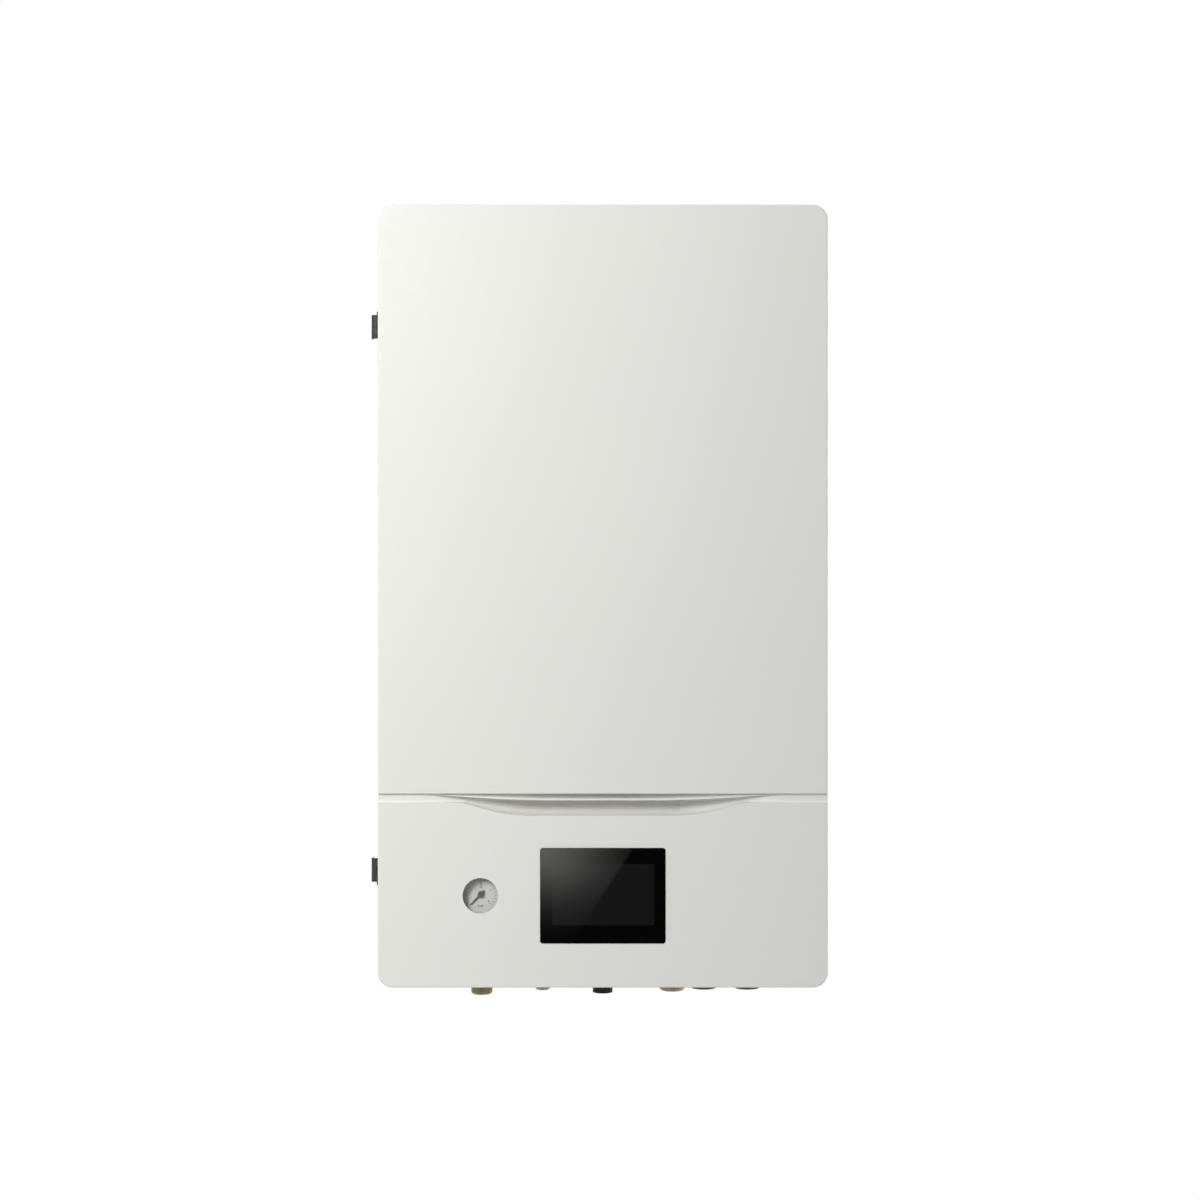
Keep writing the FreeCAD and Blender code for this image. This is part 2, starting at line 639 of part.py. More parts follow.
def lower_panel():
    """Moulded panel below the seam, with the groove, the finger scoop, the window and the gauge hole."""
    half = WIDTH / 2
    panel = tray((-half, half), (BOTTOM, GROOVE_Z), CORNER_R, 0, MOULDING, GROOVE_Z)
    groove = block((-half, half), (DOOR_FRONT + REBATE, DOOR_FRONT + REBATE + MOULDING),
                   (GROOVE_Z - MOULDING / 2, SEAM_Z))
    panel = panel.fuse([groove, scoop(MOULDING)]).cut(scoop(0))
    reach_x, reach_z = SCREEN_SIZE[0] / 2 + SCREEN_PLAY, SCREEN_SIZE[1] / 2 + SCREEN_PLAY
    corner = SCREEN_CORNER + SCREEN_PLAY
    window = slab((-reach_x, reach_x), (SCREEN_Z - reach_z, SCREEN_Z + reach_z),
                  (DOOR_FRONT, DOOR_FRONT + MOULDING), corner, corner)
    sight = rod(V(GAUGE_X, DOOR_FRONT, GAUGE_Z), BACK, GAUGE_HOLE_D, MOULDING)
    return panel.cut(window).cut(sight).removeSplitter()


def pull_lip():
    """Hooked lip under the upper panel that the fingers pull on; its rim bows up to the seam at both ends."""
    rim = DOOR_FRONT + LIP_BACK
    half = LIP_LENGTH / 2 - FIT

    def section(x, tall, deep):
        hollow = [(back * LIP_GUTTER, down * LIP_REACH) for back, down in LIP_INNER]
        front = [(0, LIP_REACH - LIP_RIM), (0, LIP_REACH)]
        rear = [(back * (LIP_GUTTER + LIP_SHEET), down * LIP_REACH) for back, down in LIP_OUTER]
        hook = [V(x, rim + back * deep, SEAM_Z - down * tall) for back, down in hollow + front + rear]
        return Part.makePolygon(hook + hook[:1])

    places = [(half * (along - 1), tall, deep) for along, tall, deep in LIP_BOW]
    places += [(-x, tall, deep) for x, tall, deep in reversed(places[:-1])]
    return Part.makeLoft([section(*place) for place in places], True, True)


def door_frame():
    """Steel frame behind both panels: two uprights and three rails, welded edge to edge."""
    thick = (DOOR_BACK - FRAME_SHEET, DOOR_BACK)
    corner = CORNER_R - FRAME_INSET
    across, opening = WIDTH / 2 - FRAME_INSET, WIDTH / 2 - FRAME_RAIL
    low, high = BOTTOM + FRAME_INSET, TOP - FRAME_INSET
    plate = slab((-across, across), (low, high), thick, corner, corner)
    sides = [(-across, -opening), (opening, across)]
    rails = [(low, BOTTOM + FRAME_RAIL), (GROOVE_Z - FRAME_RAIL, SEAM_Z + FRAME_RAIL / 2),
             (TOP - FRAME_RAIL, high)]
    strips = [plate.common(block(side, thick, (low, high))) for side in sides]
    strips += [block((-opening, opening), thick, rail) for rail in rails]
    return Part.makeCompound(strips)


def display_glass():
    """Cover glass of the touch screen."""
    half_x, half_z = SCREEN_SIZE[0] / 2, SCREEN_SIZE[1] / 2
    front = DOOR_FRONT - SCREEN_PROUD
    return slab((-half_x, half_x), (SCREEN_Z - half_z, SCREEN_Z + half_z), (front, front + GLASS),
                SCREEN_CORNER, SCREEN_CORNER)


def display_housing():
    """Body of the touch screen, clipped in from behind by its flange."""
    half_x, half_z = SCREEN_SIZE[0] / 2, SCREEN_SIZE[1] / 2
    front = DOOR_FRONT - SCREEN_PROUD + GLASS
    seat = DOOR_FRONT + MOULDING
    flange = SCREEN_FLANGE
    body = slab((-half_x, half_x), (SCREEN_Z - half_z, SCREEN_Z + half_z), (front, front + SCREEN_BOX_DEPTH),
                SCREEN_CORNER, SCREEN_CORNER)
    edge = slab((-half_x - flange, half_x + flange), (SCREEN_Z - half_z - flange, SCREEN_Z + half_z + flange),
                (seat, seat + MOULDING), SCREEN_CORNER, SCREEN_CORNER)
    return body.fuse(edge).removeSplitter()


# Hinges
HINGE_UPPER = TOP - HINGE_TOP_INSET
HINGE_LOWER = BOTTOM + HINGE_BOTTOM_INSET


def hinge_leaf(middle, face, toward, low, high):
    """Leaf screwed on the outside, with its half of the barrel between two heights."""
    full = (middle - HINGE_HEIGHT / 2, middle + HINGE_HEIGHT / 2)
    near_edge = HINGE_Y + toward * (BARREL_R + LEAF_CLEAR)
    plate = block((face - LEAF, face), (near_edge, near_edge + toward * LEAF_REACH), full)
    bridge = block((face - LEAF, face), (HINGE_Y, near_edge), (low, high))
    axis = V(HINGE_X, HINGE_Y, low)
    leaf = plate.fuse([bridge, rod(axis, UP, 2 * BARREL_R, high - low)])
    return leaf.cut(rod(axis, UP, 2 * (PIN_R + PIN_PLAY), high - low)).removeSplitter()


def case_leaf(middle):
    return hinge_leaf(middle, -CASE_X, 1, middle - HINGE_HEIGHT / 2, middle - KNUCKLE_GAP / 2)


def door_leaf(middle):
    return hinge_leaf(middle, -WIDTH / 2, -1, middle + KNUCKLE_GAP / 2, middle + HINGE_HEIGHT / 2)


def hinge_pins():
    return Part.makeCompound([rod(V(HINGE_X, HINGE_Y, middle - HINGE_HEIGHT / 2), UP, 2 * PIN_R, HINGE_HEIGHT)
                              for middle in (HINGE_UPPER, HINGE_LOWER)])


# Control box
def control_box_tray():
    """Open sheet box for the electrics, held to the side panels by ears."""
    half = BOX_HALF
    box = slab((-half, half), (BOX_BOTTOM, BOX_TOP), (BOX_FRONT, BOX_REAR))
    inside = half - SHEET
    box = box.cut(slab((-inside, inside), (BOX_BOTTOM + SHEET, BOX_TOP - SHEET),
                       (BOX_FRONT, BOX_REAR - SHEET)))
    ears = []
    for side in (-1, 1):
        for middle in EAR_Z:
            tall = (middle - EAR / 2, middle + EAR / 2)
            ears.append(block((side * half, side * INNER_X), (BOX_REAR - SHEET, BOX_REAR), tall))
            ears.append(block((side * (INNER_X - SHEET), side * INNER_X),
                              (BOX_REAR, BOX_REAR - EAR_FOOT), tall))
    return box.fuse(ears).removeSplitter()


def control_box_cover():
    """Lid over the board, returned at the top and both sides; the terminals below stay open."""
    half = BOX_HALF + FIT
    top = BOX_TOP + FIT
    lid = slab((-half - SHEET, half + SHEET), (COVER_BOTTOM, top + SHEET),
               (BOX_FRONT - SHEET, BOX_FRONT + COVER_RETURN))
    return lid.cut(slab((-half, half), (COVER_BOTTOM, top), (BOX_FRONT, BOX_FRONT + COVER_RETURN)))


def main_board():
    """Circuit board on four posts, with its relays and transformer as blocks."""
    floor = BOX_REAR - SHEET
    half_x, half_z = BOARD[0] / 2, BOARD[1] / 2
    face = floor - BOARD_STANDOFF - BOARD[2]
    board = block((-half_x, half_x), (face, face + BOARD[2]), (BOARD_Z - half_z, BOARD_Z + half_z))
    pieces = [rod(V(sx * (half_x - POST_D), floor, BOARD_Z + sz * (half_z - POST_D)),
                  FRONT, POST_D, BOARD_STANDOFF)
              for sx in (-1, 1) for sz in (-1, 1)]
    for relay in range(RELAYS):
        left = POST_D * 2 - half_x + relay * RELAY_PITCH
        low = BOARD_Z - half_z + RELAY[2]
        pieces.append(block((left, left + RELAY[0]), (face - RELAY[1], face), (low, low + RELAY[2])))
    right = half_x - 2 * POST_D
    pieces.append(block((right - TRANSFORMER[0], right), (face - TRANSFORMER[1], face),
                        (BOARD_Z, BOARD_Z + TRANSFORMER[2])))
    return board.fuse(pieces).removeSplitter()


def terminal_block():
    """Row of screw terminals on the tray's floor."""
    floor = BOX_REAR - SHEET
    front = floor - TERMINAL_DEPTH
    half = TERMINAL_POLES * TERMINAL_PITCH / 2
    low, high = TERMINAL_Z - TERMINAL_H / 2, TERMINAL_Z + TERMINAL_H / 2
    row = block((-half, half), (floor, front), (low, high))
    row = row.cut(block((-half, half), (front, front + TERMINAL_STEP), (low, low + TERMINAL_LEDGE)))
    cuts = []
    for pole in range(TERMINAL_POLES):
        middle = -half + TERMINAL_PITCH * (pole + 0.5)
        screw = V(middle, front, high - TERMINAL_SCREW_DROP)
        wire = V(middle, front + TERMINAL_STEP, low + TERMINAL_LEDGE / 2)
        cuts.append(rod(screw, BACK, TERMINAL_HOLE_D, TERMINAL_SCREW_DEPTH))
        cuts.append(rod(wire, BACK, TERMINAL_HOLE_D, TERMINAL_WIRE_DEPTH))
    for gap in range(1, TERMINAL_POLES):
        middle = -half + TERMINAL_PITCH * gap
        cuts.append(block((middle - TERMINAL_SLIT / 2, middle + TERMINAL_SLIT / 2),
                          (front, front + TERMINAL_SLIT_DEPTH), (low + TERMINAL_LEDGE, high)))
    return row.cut(cuts)


# Expansion vessel
VESSEL_Y = BACK_FACE - VESSEL_GAP - VESSEL_DEPTH / 2
CRIMP_R = VESSEL_D / 2 + 2.0
CRIMP = 8.0


def dish(radius, rim, height, sign, steps=8):
    """Points of a dished end as (radius, distance from the middle) pairs, from rim to crown."""
    angles = [math.pi / 2 * k / steps for k in range(steps + 1)]
    return [(radius * math.cos(a), sign * (rim + height * math.sin(a))) for a in angles]


def expansion_vessel():
    """Flat round vessel with two dished halves, a crimped seam and a nipple below."""
    rim = VESSEL_RIM / 2
    height = VESSEL_DEPTH / 2 - rim
    radius = VESSEL_D / 2
    profile = dish(radius, rim, height, -1)[::-1]
    profile += [(radius, -CRIMP / 2), (CRIMP_R, -CRIMP / 2), (CRIMP_R, CRIMP / 2), (radius, CRIMP / 2)]
    profile += dish(radius, rim, height, 1)
    middle = V(VESSEL_X, VESSEL_Y, VESSEL_Z)
    drum = turned(middle, FRONT, profile)
    boss = rod(V(VESSEL_X, BACK_FACE, VESSEL_Z), FRONT, 2 * VESSEL_NIPPLE_D, VESSEL_GAP + 4)
    nipple = rod(middle + DOWN * (radius - 4), DOWN, VESSEL_NIPPLE_D, VESSEL_NIPPLE + 4)
    bore = rod(middle + DOWN * radius, DOWN, VESSEL_PIPE_D - 2 * COPPER_WALL, VESSEL_NIPPLE)
    return drum.fuse([boss, nipple]).cut(bore).removeSplitter()


def vessel_cradle():
    """Curved shelf under the vessel, welded to the back panel and open for the nipple."""
    inner = CRIMP_R + FIT
    outer = inner + CRADLE_SHEET
    axis = V(VESSEL_X, BACK_FACE, VESSEL_Z)
    ring = rod(axis, FRONT, 2 * outer, CRADLE_DEPTH).cut(rod(axis, FRONT, 2 * inner, CRADLE_DEPTH))

    rays = [V(math.cos(math.radians(a)), 0, math.sin(math.radians(a))) for a in CRADLE_TURN]
    corners = [axis, axis + rays[0] * 3 * outer, axis + rays[1] * 3 * outer, axis]
    wedge = Part.Face(Part.makePolygon(corners)).extrude(FRONT * CRADLE_DEPTH)
    slot = block((axis.x - CRADLE_SLOT / 2, axis.x + CRADLE_SLOT / 2),
                 (BACK_FACE - CRADLE_DEPTH / 2, BACK_FACE - CRADLE_DEPTH), (axis.z - 2 * outer, axis.z))
    return ring.common(wedge).cut(slot)


# Plate heat exchanger
PORT_FACE = BACK_FACE - EXCHANGER_GAP - 2 * END_PLATE - PLATE_COUNT * PLATE_PITCH - PORT_REACH


def plate_heat_exchanger():
    """Brazed stack of plates with four ports to the front and two studs to the back panel."""
    def plate(start, thick, inset):
        half_x, half_z = PLATE_WIDTH / 2 - inset, PLATE_HEIGHT / 2 - inset
        corner = PLATE_CORNER - inset
        return slab((EXCHANGER_X - half_x, EXCHANGER_X + half_x),
                    (EXCHANGER_Z - half_z, EXCHANGER_Z + half_z),
                    (start, start - thick), corner, corner)

    rear = BACK_FACE - EXCHANGER_GAP
    stack = PLATE_COUNT * PLATE_PITCH
    body = plate(rear, END_PLATE, 0)
    pieces = [plate(rear - END_PLATE, stack, PLATE_STEP), plate(rear - END_PLATE - stack, END_PLATE, 0)]
    for row in range(1, PLATE_COUNT, 2):
        pieces.append(plate(rear - END_PLATE - row * PLATE_PITCH, PLATE_PITCH, 0))
    front = rear - stack - 2 * END_PLATE
    for sx in (-1, 1):
        for sz in (-1, 1):
            pieces.append(rod(V(EXCHANGER_X + sx * PORT_X, front, EXCHANGER_Z + sz * PORT_Z),
                              FRONT, PORT_D, PORT_REACH))
    for sz in (-1, 1):
        pieces.append(rod(V(EXCHANGER_X, BACK_FACE, EXCHANGER_Z + sz * PORT_Z), FRONT, STUD_D, EXCHANGER_GAP))
    body = body.fuse(pieces)
    bores = [(1, 1, WATER_PIPE_D - 2 * WATER_PIPE_WALL), (1, -1, WATER_PIPE_D - 2 * WATER_PIPE_WALL),
             (-1, 1, GAS_PIPE_D - 2 * COPPER_WALL), (-1, -1, LIQUID_PIPE_D - 2 * COPPER_WALL)]
    for sx, sz, bore in bores:
        body = body.cut(rod(V(EXCHANGER_X + sx * PORT_X, PORT_FACE, EXCHANGER_Z + sz * PORT_Z),
                            BACK, bore, PORT_REACH))
    return body.removeSplitter()


# Back-up heater
def heater_vessel():
    """Steel cylinder with dished ends, two nipples and welded feet."""
    radius = HEATER_D / 2
    middle = (HEATER_TOP + HEATER_BOTTOM) / 2
    rim = (HEATER_TOP - HEATER_BOTTOM) / 2 - HEATER_DISH
    profile = dish(radius, rim, HEATER_DISH, -1, 6)[::-1] + dish(radius, rim, HEATER_DISH, 1, 6)
    body = turned(V(OUTLET_X, REAR_ROW_Y, middle), UP, profile)
    inlet = V(OUTLET_X - radius + 3, REAR_ROW_Y, HEATER_INLET_Z)
    outlet = V(OUTLET_X, REAR_ROW_Y, HEATER_BOTTOM + 3)
    head = V(OUTLET_X, REAR_ROW_Y, HEATER_TOP - HEATER_DISH / 2)
    reach = HEATER_NIPPLE + 3
    pieces = [rod(inlet, LEFT, HEATER_NIPPLE_D, reach), rod(outlet, DOWN, HEATER_NIPPLE_D, reach),
              rod(head, UP, ELEMENT_CAP_D, HEATER_DISH / 2)]
    for height in (HEATER_TOP - HEATER_FOOT_INSET[0], HEATER_BOTTOM + HEATER_FOOT_INSET[1]):
        wide, tall = HEATER_FOOT
        pieces.append(block((OUTLET_X - wide / 2, OUTLET_X + wide / 2), (REAR_ROW_Y + radius - 5, BACK_FACE),
                            (height - tall / 2, height + tall / 2)))
    body = body.fuse(pieces)
    bore = WATER_PIPE_D - 2 * WATER_PIPE_WALL
    bores = [rod(inlet + LEFT * 3, LEFT, bore, reach), rod(outlet + DOWN * 3, DOWN, bore, reach)]
    return body.cut(bores).removeSplitter()


def heater_element_head():
    """Screwed-in head of the electric element, with its insulating cap."""
    seat = V(OUTLET_X, REAR_ROW_Y, HEATER_TOP)
    cap = turned(seat + UP * ELEMENT_H, UP, [(0, 0), (ELEMENT_CAP_D / 2, 0),
                                             (ELEMENT_CAP_D / 2, ELEMENT_CAP_H - 4),
                                             (ELEMENT_CAP_D / 2 - 4, ELEMENT_CAP_H), (0, ELEMENT_CAP_H)])
    return hexagon(seat, UP, ELEMENT_AF, ELEMENT_H).fuse(cap).removeSplitter()


CUTOUT_FRONT = REAR_ROW_Y - HEATER_D / 2 - CUTOUT_H
BUTTON_DEPTH = 6.0          # part of the button inside the cut-out


def thermal_cutout():
    """Overheat switch saddled on the heater, bored for its reset button."""
    face = V(OUTLET_X, CUTOUT_FRONT, CUTOUT_Z)
    length = CUTOUT_H + HEATER_D / 4
    body = rod(face, BACK, CUTOUT_D, length)
    plate = CUTOUT_PLATE[0] / 2
    ears = block((OUTLET_X - plate, OUTLET_X + plate),
                 (CUTOUT_FRONT + CUTOUT_H - 4, REAR_ROW_Y - HEATER_D / 4),
                 (CUTOUT_Z - CUTOUT_D / 4, CUTOUT_Z + CUTOUT_D / 4))
    heater = rod(V(OUTLET_X, REAR_ROW_Y, HEATER_BOTTOM), UP, HEATER_D, HEATER_TOP - HEATER_BOTTOM)
    depth = BUTTON_DEPTH + BUTTON_TRAVEL + BUTTON_PLAY
    button_hole = rod(face, BACK, BUTTON_D + 2 * BUTTON_PLAY, depth)
    return body.fuse(ears).cut(heater).cut(button_hole).removeSplitter()


def reset_button():
    start = V(OUTLET_X, CUTOUT_FRONT - BUTTON_PROUD, CUTOUT_Z)
    return rod(start, BACK, BUTTON_D, BUTTON_PROUD + BUTTON_DEPTH)


# Pump
PUMP = V(INLET_X, ROW_Y, PUMP_Z)
VOLUTE_FACE = ROW_Y - VOLUTE_FRONT
IMPELLER_CLEAR = 2.0
ROTOR_LENGTH = 20.0
BEARING = 5.0


def pump_housing():
    """Cast volute with one port up and one down, open to the motor at the front."""
    body = rod(V(INLET_X, ROW_Y + VOLUTE_REAR, PUMP_Z), FRONT, 2 * VOLUTE_R, VOLUTE_FRONT + VOLUTE_REAR)
    low = PUMP + DOWN * (PUMP_LENGTH / 2)
    body = body.fuse(rod(low, UP, PUMP_PORT_D, PUMP_LENGTH))
    chamber = rod(V(INLET_X, VOLUTE_FACE, PUMP_Z), BACK, 2 * (IMPELLER_R + IMPELLER_CLEAR),
                  VOLUTE_FRONT + VOLUTE_REAR - VOLUTE_WALL)
    ports = rod(low, UP, PUMP_BORE_D, PUMP_LENGTH)
    return body.cut([chamber, ports]).removeSplitter()


def pump_motor():
    """Wet-rotor motor can with the electronics head in front."""
    can = rod(V(INLET_X, VOLUTE_FACE, PUMP_Z), FRONT, 2 * MOTOR_R, MOTOR_LENGTH)
    face = VOLUTE_FACE - MOTOR_LENGTH
    wide, tall, deep = HEAD_SIZE
    head = slab((INLET_X - wide / 2, INLET_X + wide / 2), (PUMP_Z - tall / 2, PUMP_Z + tall / 2),
                (face, face - deep), MOTOR_WALL * 2, MOTOR_WALL * 2)
    start = V(INLET_X, VOLUTE_FACE, PUMP_Z)
    room = rod(start, FRONT, 2 * (ROTOR_R + IMPELLER_CLEAR), ROTOR_LENGTH + IMPELLER_CLEAR)
    bearing = rod(start, FRONT, 2 * (ROTOR_SHAFT_R + SHAFT_PLAY),
                  ROTOR_LENGTH + IMPELLER_CLEAR + BEARING + SHAFT_PLAY)
    return can.fuse(head).cut([room, bearing]).removeSplitter()


def pump_rotor():
    """Impeller, magnet rotor and shaft, turning together."""
    shaft_end = VOLUTE_FACE - ROTOR_LENGTH - IMPELLER_CLEAR - BEARING
    impeller_rear = VOLUTE_FACE + IMPELLER_CLEAR + IMPELLER_H
    disc = rod(V(INLET_X, impeller_rear - IMPELLER_H * 0.6, PUMP_Z), FRONT, 2 * IMPELLER_R, IMPELLER_H * 0.4)
    shaft = rod(V(INLET_X, impeller_rear, PUMP_Z), FRONT, 2 * ROTOR_SHAFT_R, impeller_rear - shaft_end)
    magnet = rod(V(INLET_X, VOLUTE_FACE, PUMP_Z), FRONT, 2 * ROTOR_R, ROTOR_LENGTH)
    pieces = [shaft, magnet]
    for turn in range(VANES):
        vane = block((ROTOR_SHAFT_R - 1, IMPELLER_R - 1), (0, -IMPELLER_H * 0.6), (-1.2, 1.2))
        vane.rotate(V(), BACK, 360 * turn / VANES)
        vane.translate(V(INLET_X, impeller_rear, PUMP_Z))
        pieces.append(vane)
    return disc.fuse(pieces).removeSplitter()


# Relief valve, air vent, flow sensor and strainer
RELIEF_START = REAR_ROW_Y - WATER_PIPE_D / 2 - 8.0     # end of the boss it screws onto
RELIEF_FRONT = RELIEF_START - RELIEF_BODY
RELIEF_OUT_Y = RELIEF_START - RELIEF_BODY / 2
RELIEF_OUT_Z = HEATER_INLET_Z - RELIEF_OUTLET
VENT_BASE = HEATER_INLET_Z + WATER_PIPE_D / 2 + 8.0
BOSS_BORE = 10.0


def relief_valve():
    """Safety valve with its outlet down and its stem to the front."""
    start = V(RELIEF_X, RELIEF_START, HEATER_INLET_Z)
    body = rod(start, FRONT, 2 * RELIEF_BODY_R, RELIEF_BODY)
    outlet = V(RELIEF_X, RELIEF_OUT_Y, HEATER_INLET_Z)
    pieces = [rod(outlet, DOWN, DISCHARGE_D + 2 * BOSS_WALL, RELIEF_OUTLET),
              rod(V(RELIEF_X, RELIEF_FRONT, HEATER_INLET_Z), FRONT, 2 * RELIEF_BONNET_R, RELIEF_BONNET),
              rod(V(RELIEF_X, RELIEF_FRONT, HEATER_INLET_Z), FRONT, 2 * KNOB_STEM_R,
                  RELIEF_BONNET + KNOB_H * 0.7)]
    body = body.fuse(pieces)
    bores = [rod(start, FRONT, BOSS_BORE, RELIEF_BODY / 2), rod(outlet, DOWN, BOSS_BORE, RELIEF_OUTLET)]
    return body.cut(bores).removeSplitter()


def relief_knob():
    """Lobed hand knob on the relief valve's stem."""
    rear = V(RELIEF_X, RELIEF_FRONT - RELIEF_BONNET - KNOB_GAP, HEATER_INLET_Z)
    knob = turned(rear, FRONT, [(0, 0), (KNOB_R, 0), (KNOB_R, KNOB_H - 3), (KNOB_R - 3, KNOB_H), (0, KNOB_H)])
    for lobe in range(KNOB_LOBES):
        turn = 2 * math.pi * lobe / KNOB_LOBES
        out = V(math.cos(turn), 0, math.sin(turn)) * (KNOB_R + 1.5)
        knob = knob.cut(rod(rear + out, FRONT, 7, KNOB_H))
    return knob.cut(rod(rear, FRONT, 2 * (KNOB_STEM_R + FIT), KNOB_H * 0.8))


def air_vent():
    """Automatic air vent on the highest water pipe."""
    seat = V(VENT_X, REAR_ROW_Y, VENT_BASE)
    neck = 6.0
    wide = VENT_D / 2
    boss = BOSS_BORE / 2 + BOSS_WALL
    profile = [(0, 0), (boss, 0), (boss, neck), (wide, neck), (wide, VENT_H),
               (VENT_CAP_D / 2, VENT_H + 2), (VENT_CAP_D / 2, VENT_H + VENT_CAP_H), (0, VENT_H + VENT_CAP_H)]
    return turned(seat, UP, profile)


def flow_sensor():
    """Inline flow sensor with its plug box to the front."""
    top = V(OUTLET_X, REAR_ROW_Y, SENSOR_TOP)
    length = SENSOR_TOP - SENSOR_BOTTOM
    wide, deep, tall = SENSOR_BOX
    middle = (SENSOR_TOP + SENSOR_BOTTOM) / 2
    box = block((OUTLET_X - wide / 2, OUTLET_X + wide / 2),
                (REAR_ROW_Y, REAR_ROW_Y - SENSOR_D / 2 - deep / 2),
                (middle - tall / 2, middle + tall / 2))
    body = rod(top, DOWN, SENSOR_D, length).fuse(box)
    return body.cut(rod(top, DOWN, WATER_BORE_D, length)).removeSplitter()


# Bottom connections
def fitting(x, y, thread_d, reach, bore, across_flats, hex_h, top, body_d):
    """Threaded connection through the bottom panel, with a hexagon that sits on the sheet."""
    low = V(x, y, BOTTOM - reach)
    seat = V(x, y, FLOOR)
    wide = thread_d / 2
    thread = turned(low, UP, [(0, 0), (wide - CHAMFER, 0), (wide, CHAMFER), (wide, reach - RUN_OUT),
                              (wide - HOLE_PLAY, reach - RUN_OUT), (wide - HOLE_PLAY, reach + SHEET),
                              (0, reach + SHEET)])
    body = thread.fuse([hexagon(seat, UP, across_flats, hex_h), rod(seat, UP, body_d, top - FLOOR)])
    return body.cut(rod(low, UP, bore, top - low.z)).removeSplitter()


WATER_HEX = 36.0
HEX_H = 10.0
UNION_TOP = BOTTOM + UNION_RISE


def inlet_strainer():
    """Water inlet with a slanted strainer branch."""
    body = fitting(INLET_X, ROW_Y, WATER_THREAD_D, WATER_REACH, WATER_BORE_D, WATER_HEX, HEX_H,
                   STRAINER_TOP, STRAINER_D)
    slant = V(0, -1, -1).normalize()
    root = V(INLET_X, ROW_Y, STRAINER_TOP - STRAINER_D / 2 - 8)
    branch = rod(root, slant, STRAINER_BRANCH_D, STRAINER_BRANCH)
    plug = hexagon(root + slant * STRAINER_BRANCH, slant, STRAINER_BRANCH_D * 0.7, 6)
    bore = rod(V(INLET_X, ROW_Y, BOTTOM - WATER_REACH), UP, WATER_BORE_D, STRAINER_TOP - BOTTOM + WATER_REACH)
    return body.fuse([branch, plug]).cut(bore).removeSplitter()


def water_outlet():
    return fitting(OUTLET_X, REAR_ROW_Y, WATER_THREAD_D, WATER_REACH, WATER_BORE_D, WATER_HEX, HEX_H,
                   SENSOR_BOTTOM, SENSOR_D - 4)


def gas_union():
    bore = GAS_PIPE_D - 2 * COPPER_WALL
    return fitting(GAS_X, ROW_Y, GAS_THREAD_D, GAS_REACH, bore, 27, HEX_H, UNION_TOP, 22)


def liquid_union():
    return fitting(LIQUID_X, ROW_Y, LIQUID_THREAD_D, LIQUID_REACH, LIQUID_PIPE_D - 2 * COPPER_WALL, 19, HEX_H,
                   UNION_TOP, 15)


FUNNEL_D = 50.0
FUNNEL_TOP = BOTTOM + 68.0
FUNNEL_CONE = BOTTOM + 40.0
FUNNEL_NECK = BOTTOM + 24.0
FUNNEL_FLANGE = 17.0


def drain_funnel():
    """Open cup that catches the relief water and drains through the bottom."""
    tip = BOTTOM - DRAIN_REACH
    wide, spigot, wall = FUNNEL_D / 2, DRAIN_D / 2, DRAIN_WALL
    outside = [(wide, FUNNEL_TOP), (wide, FUNNEL_CONE), (spigot, FUNNEL_NECK), (spigot, FLOOR + wall),
               (FUNNEL_FLANGE, FLOOR + wall), (FUNNEL_FLANGE, FLOOR), (spigot - HOLE_PLAY, FLOOR),
               (spigot - HOLE_PLAY, BOTTOM - RUN_OUT), (spigot, BOTTOM - RUN_OUT), (spigot, tip)]
    inside = [(spigot - wall, tip), (spigot - wall, FUNNEL_NECK),
              (wide - wall, FUNNEL_CONE + 1), (wide - wall, FUNNEL_TOP)]
    return turned(V(DRAIN_X, ROW_Y, 0), UP, outside + inside)


def cable_gland(x):
    """Cable gland through the bottom panel, with a domed nut below and a lock nut inside."""
    wide = GLAND_D / 2
    crown = [(wide - inward, GLAND_REACH - above) for inward, above in GLAND_CROWN]
    dome = turned(V(x, GLAND_Y, BOTTOM), DOWN, [(0, 0), (wide, 0)] + crown + [(0, GLAND_REACH)])
    stem = rod(V(x, GLAND_Y, BOTTOM), UP, GLAND_THREAD_D, SHEET + GLAND_STEM)
    lock = hexagon(V(x, GLAND_Y, FLOOR), UP, GLAND_D, GLAND_LOCK)
    bore = rod(V(x, GLAND_Y, BOTTOM - GLAND_REACH), UP, GLAND_BORE_D, GLAND_REACH + SHEET + GLAND_STEM)
    return dome.fuse([stem, lock]).cut(bore).removeSplitter()


# Pipes
BOSS = 8.0
HEATER_NOZZLE_X = OUTLET_X - HEATER_D / 2 - HEATER_NIPPLE


def water_pipe(points, bosses=()):
    reach = WATER_PIPE_D / 2 + BOSS
    return pipe(points, WATER_PIPE_D, WATER_PIPE_WALL, WATER_BEND,
                [(start, direction, reach, bore) for start, direction, bore in bosses])


def pipe_return():
    """From the strainer up to the pump, with a tap for the expansion vessel."""
    tap = (V(INLET_X, ROW_Y, VESSEL_TAP_Z), BACK, VESSEL_PIPE_D - 2 * COPPER_WALL)
    return water_pipe([V(INLET_X, ROW_Y, STRAINER_TOP), V(INLET_X, ROW_Y, PUMP_LOW)], [tap])


